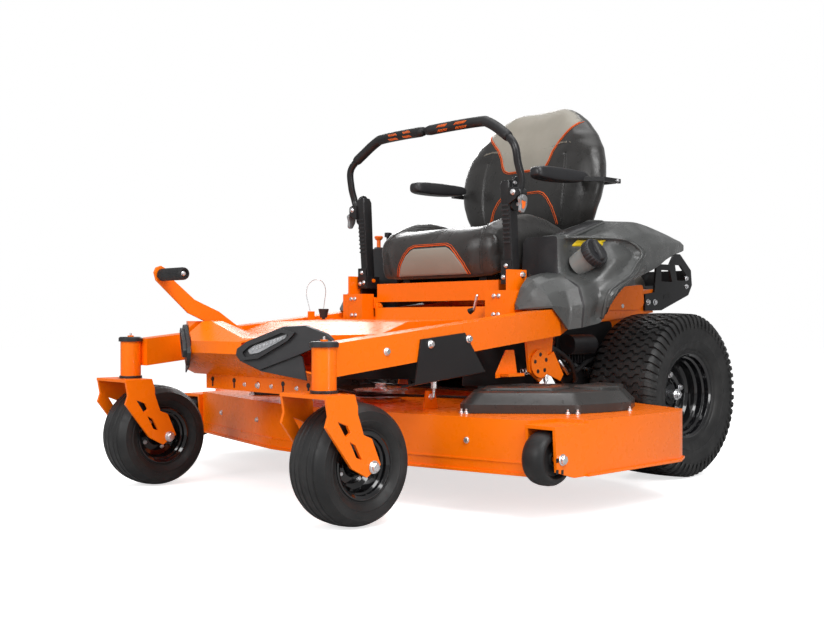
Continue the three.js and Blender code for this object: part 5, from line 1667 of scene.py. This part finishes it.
def belt():
    """The V-belt's own section, run round the three sheaves."""
    radius = PULLEY_RADIUS + 4.2
    cloud = [(SPINDLES[name][0] + radius * math.cos(math.tau * i / 72),
              SPINDLES[name][1] + radius * math.sin(math.tau * i / 72))
             for name in ("right", "center", "left") for i in range(72)]
    cloud.sort()

    def half(points_in_order):
        chain = []
        for p in points_in_order:
            while len(chain) > 1 and ((chain[-1][0] - chain[-2][0]) * (p[1] - chain[-2][1])
                                      - (chain[-1][1] - chain[-2][1]) * (p[0] - chain[-2][0])) <= 0:
                chain.pop()
            chain.append(p)
        return chain

    loop = half(cloud)[:-1] + half(cloud[::-1])[:-1]
    rings = []
    count = len(loop)
    for i in range(count + 1):
        before, here, after = (Vector(loop[(i + k) % count]) for k in (-1, 0, 1))
        run = (after - before).normalized()
        out = Vector((run.y, -run.x))
        rings.append([(here.x + out.x * o, here.y + out.y * o, BELT_Z + h)
                      for o, h in ((-3.4, -2.4), (3.2, -3.9), (3.2, 3.9), (-3.4, 2.4))])
    strap = Solid(HOSE_AND_HOLE_SHADE)
    strap.skin(rings, 0, True, False)
    bmesh.ops.remove_doubles(strap.mesh, verts=strap.mesh.verts, dist=0.01)
    strap.place("v_belt", "deck", "belt_rubber", 0, 2, ["deck_belt"])


def add_deck():
    both_sides(belt_cover)
    deck_hardware()
    both_sides(deck_links)
    for name in SPINDLES:
        spindle_set(name)
    belt()


add_deck()


# ------------------------------------------------------------------ engine bay and rear
def crankcase(core, y, base):
    outline = rounded([(-100, -110), (100, -110), (118, -60), (118, 90), (60, 118), (-60, 118), (-118, 90),
                       (-118, -60)], 24, 4)
    core.skin([[(u * k, y + v * k, base + h) for u, v in outline]
               for k, h in ((0.96, 0), (1.0, 10), (1.0, 60), (0.9, 70), (0.86, 110))])
    for i in range(16):
        a = math.tau * i / 16
        core.bolt((106 * math.cos(a), y + 106 * math.sin(a), base + 64), (0, 0, 1), 5, 2)


def cylinder(core, y, base, sign):
    """Finned barrel with its rocker cover and bolts, the exhaust bend and the spark lead."""
    def slab(y0, y1, z0, z1, radius, cuts):
        return rounded([(y + y0, base + z0), (y + y1, base + z0), (y + y1, base + z1), (y + y0, base + z1)],
                       radius, cuts)

    for i in range(10):
        start = 118 + 8.2 * i
        core.prism("x", slab(-44, 60, 26, 106, 16, 3), *span(sign, start, start + 4))
    core.prism("x", slab(-30, 46, 36, 96, 14, 3), *span(sign, 100, 200))
    cover = slab(-40, 56, 30, 102, 18, 4)
    core.skin([[(sign * x, v, w) for v, w in grown(cover, (y + 8, base + 66), k)]
               for x, k in ((200, 1.0), (224, 1.0), (234, 0.9))])
    for dy, dz in ((-30, 38), (46, 38), (46, 94), (-30, 94)):
        core.bolt((sign * 224, y + dy, base + dz), (sign, 0, 0), 5, 2)
    bend = ((206, 50, 60), (214, 90, 52), (160, 130, 40), (110, 166, 52))
    lead = ((226, -20, 70), (236, -60, 84), (150, -96, 100), (90, -100, 118))
    for line, size, ink, sides in ((bend, 15, core.index(HOT_STEEL), 16), (lead, 3.4, 3, 8)):
        core.sweep([(sign * u, y + v, base + w) for u, v, w in line], size, ink, sides)


def engine_core():
    """V-twin: crankcase, two cylinders, oil filter, drain plug, dipstick and the shaft's end."""
    y, base = ENGINE["y"], ENGINE["plate_z"] + 0.6
    core = Solid(ALLOY, DARK, ZINC, HOSE_AND_HOLE_SHADE)
    crankcase(core, y, base)
    for sign in (-1, 1):
        cylinder(core, y, base, sign)
    oil_filter = [(0.5, 122), (36, 122), (38, 126), (38, 186), (34, 192), (0.5, 192)]
    core.lathe("x", oil_filter, (0, y - 62, base + 36), 1, 40)
    core.rod("y", 9, y - 125, y - 108, (70, base + 24), 2, 6)
    core.sweep([(-92, y - 92, base + 60), (-98, y - 104, base + 100), (-96, y - 108, base + 128)], 6, 1, 12)
    core.rod("z", 14, base - 120, base + 10, (0, y), 2, 24)
    core.place("engine_core", "chassis", "cast_alloy", 1.0, 2, ["engine_block"])


def fan_screen(shroud, y, z):
    """Curved wires and rings over the fan's intake."""
    for i in range(36):
        a = math.tau * i / 36
        run = Vector((math.cos(a + 0.24), math.sin(a + 0.24), 0))
        start = Vector((26 * math.cos(a), y + 26 * math.sin(a), z))
        end = Vector((100 * math.cos(a + 0.3), y + 100 * math.sin(a + 0.3), z))
        shroud.sweep([start, start.lerp(end, 0.5) + run.cross(Vector((0, 0, 1))) * 5, end], 1.9, 1, 6, 3)
    for i in range(3):
        radius = 44 + 18 * i
        wire = [(radius, z - 2), (radius + 2.4, z - 2), (radius + 2.4, z + 0.6), (radius, z + 0.6)]
        shroud.lathe("z", wire, (0, y, 0), 1, 56)


def air_cleaner(shroud, y, z):
    """Canister with its two clips and the duct down to the block."""
    can = [(0.5, -185), (40, -185), (46, -180), (48, -172), (48, -128), (46.4, -126), (46.4, -120),
           (48, -118), (48, 40), (45, 52), (38, 60), (0.5, 60)]
    shroud.lathe("x", can, (0, y, z), 0, 56)
    for turn in (0.6, 3.4):
        v, w = y + 49 * math.cos(turn), z + 49 * math.sin(turn)
        shroud.bar((-140, v, w), (-104, v, w), 3.5, 1, 8)
    duct = ((60, 0, 0), (92, -19, -2), (112, -55, -30), (104, -107, -64))
    shroud.sweep([(u, y + v, z + w) for u, v, w in duct], 21, 2, 20)


def blower():
    """Fan shroud with its screen and bolts, and the air cleaner on top."""
    y, base = ENGINE["y"], ENGINE["plate_z"] + 111.6
    shroud = Solid(DARK, STEEL, HOSE_AND_HOLE_SHADE)
    for profile, sides in (
            ([(0.5, 0), (142, 0), (148, 6), (148, 58), (143, 70), (122, 84), (114, 96), (112, 100),
              (0.5, 100)], 72),
            ([(96, 99), (110, 99), (110, 106), (104, 109), (96, 106)], 64),
            ([(0.5, 99), (28, 99), (28, 108), (22, 111), (0.5, 111)], 40)):
        shroud.lathe("z", [(r, base + h) for r, h in profile], (0, y, 0), 0, sides)
    fan_screen(shroud, y, base + 104)
    for i in range(8):
        a = math.tau * (i + 0.5) / 8
        out = (math.cos(a), math.sin(a), 0)
        shroud.bolt((149 * out[0], y + 149 * out[1], base + 30), out, 5, 1)
    air_cleaner(shroud, y + 15, base + 100)
    shroud.place("blower_shroud", "chassis", "black_plastic", 1.2, 2, ["blower_housing"])


def exhaust():
    """Muffler with rolled seams, heat-shield louvres and its tail pipe."""
    can = Solid(HOT_STEEL, ZINC, BLACK)
    y, z = MUFFLER
    half = [(0.5, 170), (30, 170), (38, 167), (41, 164), (41, 160), (39.5, 158)]
    profile = [(r, -x) for r, x in half] + half[::-1]
    can.lathe("x", profile, (0, y, z), 0, 56)
    for i in range(14):
        x = -130 + 20 * i
        can.hull([(x + u, y + r * math.cos(a), z + r * math.sin(a)) for u in (0, 9) for a in (0.2, 1.1)
                  for r in (40, 45)], 2)
    can.lathe("y", [(12, 800), (16, 800), (16, 842), (12, 842)], (-120, 0, 560), 0, 32)
    for x in (-150, 150):
        can.lathe("x", [(41.4, x - 6), (43.4, x - 6), (43.4, x + 6), (41.4, x + 6)], (0, y, z), 1, 48)
        can.box(x - 12, x + 12, 760, 812, 540, 546, 2)
    can.place("muffler_can", "chassis", "steel", 0.6, 2, ["muffler"])


def clutch():
    """Electric blade clutch: field housing, rotor groove and a ring of small studs."""
    part = Solid(STEEL, HOSE_AND_HOLE_SHADE, BLACK)
    y = ENGINE["y"]
    part.lathe("z", [(14.6, 384), (80, 384), (85, 388), (85, 396), (76, 400), (76, 404), (85, 408), (85, 418),
                     (80, 422), (62, 424), (60, 430), (60, 466), (56, 470), (14.6, 470)], (0, y, 0), 0, 64)
    for i in range(12):
        a = math.tau * i / 12
        part.rod("z", 3.4, 423, 426, (70 * math.cos(a), y + 70 * math.sin(a)), 2, 12)
    part.place("blade_clutch", "pto", "steel", 0.5, 2, ["pto_clutch"])


def pump_case(case, sign, y):
    """Ribbed gear case with the axle tube, its end flange and the cover bolts."""
    outline = rounded([(y - 88, 256), (y - 66, 326), (y + 66, 326), (y + 88, 256), (y + 48, 194),
                       (y - 48, 194)], 22, 4)
    middle = (y, 262)
    case.skin([[(sign * x, v, w) for v, w in grown(outline, middle, k)]
               for x, k in ((152, 0.86), (164, 1.0), (282, 1.0), (298, 0.9))])
    for i in range(6):
        x = 176 + 18 * i
        case.prism("x", grown(outline, middle, 1.035), *span(sign, x, x + 4))
    axle = (y, REAR["radius"])
    case.rod("x", 30, *span(sign, 290, REAR["x"] - 6), axle, 0, 40)
    case.rod("x", 16, *span(sign, REAR["x"] - 6, REAR["x"] + 46), axle, 2, 32)
    face = REAR["x"] + 8
    flange = [(16.4, -12), (68, -12), (70, -9), (70, 0), (30, 0), (30, 18), (16.4, 18)]
    case.lathe("x", [(r, sign * (face + u)) for r, u in flange], (0, *axle), 0, 48)
    for i in range(8):
        a = math.tau * i / 8
        case.bolt((sign * 299, y + 60 * math.cos(a), 262 + 48 * math.sin(a)), (sign, 0, 0), 6, 2)


def cooling_fan(case, sign, y):
    """Pump housing with the nine-bladed fan on top of it."""
    case.rod("z", 42, 322, 396, (sign * 220, y), 0, 36)
    case.lathe("z", [(0.5, 397), (24, 397), (26, 408), (22, 414), (0.5, 414)], (sign * 220, y, 0), 1, 32)
    hub = Vector((sign * 220, y, 404))
    fan_blade = [(r, w, h + lift) for lift in (0, 1.6)
                 for r, w, h in ((22, -6, -5), (22, 6, 5), (72, -14, -6), (72, 12, 6))]
    for i in range(9):
        a = math.tau * i / 9
        tip = Vector((math.cos(a), math.sin(a), 0))
        turn = Vector((-tip.y, tip.x, 0))
        case.hull([hub + tip * r + turn * w + Vector((0, 0, h)) for r, w, h in fan_blade], 1)


def hydrostat(side, sign):
    """Pump and gear case with its fan, oil filter and hoses."""
    case = Solid(PUMP, DARK, ZINC, HOSE_AND_HOLE_SHADE)
    y = REAR["y"]
    pump_case(case, sign, y)
    cooling_fan(case, sign, y)
    case.lathe("y", [(0.5, y - 150), (30, y - 150), (34, y - 146), (34, y - 98), (28, y - 90), (0.5, y - 90)],
               (sign * 200, 0, 252), 1, 40)
    for line in (((206, -40, 380), (190, -90, 402), (160, -130, 392), (150, -150, 330), (176, -140, 270)),
                 ((250, 30, 350), (262, 80, 380), (240, 120, 430), (200, 110, 470))):
        case.sweep([(sign * u, y + v, w) for u, v, w in line], 9, 3, 12)
    case.place(f"hydrostat_{side}", "chassis", "cast_alloy", 1.0, 2, [f"transaxle_{side}"])


def side_plates(side, sign):
    """Pump guard with an oil filter, hose and brake rod between the rails and the drive wheels."""
    kit = Solid(BLACK, DARK, ZINC, HOSE_AND_HOLE_SHADE)
    kit.prism("x", rounded([(168, 300), (250, 268), (440, 268), (440, 470), (168, 452)], 18, 4),
              *span(sign, 318, 324))
    kit.prism("x", [(-170, 290), (160, 274), (160, 455), (-170, 430)], *span(sign, 262, 266))
    kit.rod("y", 30, 182, 292, (sign * 352, 400), 1, 32)
    kit.rod("y", 12, 292, 306, (sign * 352, 400), 2, 20)
    kit.box(*span(sign, 324, 346), 300, 420, 300, 330, 0)
    line = ((330, 176, 330), (344, 230, 322), (340, 300, 350), (330, 400, 360))
    kit.sweep([(sign * x, y, z) for x, y, z in line], 7, 3, 10)
    kit.bar((sign * 336, 170, 356), (sign * 336, 410, 296), 4.5, 2, 12)
    for i in range(7):
        kit.box(*span(sign, 324, 342), 190 + 14 * i, 194 + 14 * i, 344, 372, 0)
    kit.place(f"pump_guard_{side}", "chassis", "black_paint", 0.8)


def rear_trim():
    """Battery with its leads, the bumper's bolts and the orange tail covers."""
    kit = Solid(DARK, ZINC, HOSE_AND_HOLE_SHADE, ORANGE)
    case = rounded([(-150, 426), (40, 426), (40, 508), (-150, 508)], 12, 4)
    kit.skin([[(u, v, z) for u, v in case] for z in (525, 584, 590)])
    kit.box(-152, 42, 424, 510, 589.8, 597)
    for x in (-130, 20):
        kit.rod("z", 8, 597, 606, (x, 444), 1, 20)
    kit.sweep([(20, 444, 603), (60, 446, 605), (100, 456, 590), (110, 500, 560)], 4, 2, 10)
    kit.sweep([(-130, 444, 603), (-170, 452, 600), (-196, 470, 580), (-190, 520, 560)], 4, 2, 10)
    for sign in (-1, 1):
        for z in (585, 612):
            kit.bolt((sign * 339.2, 836, z), (sign, 0, 0), 7, 1)
        kit.hull([(sign * x, y, z) for x, y, z in (
            (312, 470, 781), (352, 470, 777), (312, 560, 779), (356, 560, 773), (320, 640, 760),
            (352, 640, 756), (312, 470, 770), (352, 470, 768), (320, 640, 748), (352, 640, 746))], 3)
    kit.place("rear_trim", "chassis", "black_plastic", 1.0)


def add_engine():
    engine_core()
    blower()
    exhaust()
    clutch()
    both_sides(hydrostat)
    both_sides(side_plates)
    rear_trim()


add_engine()
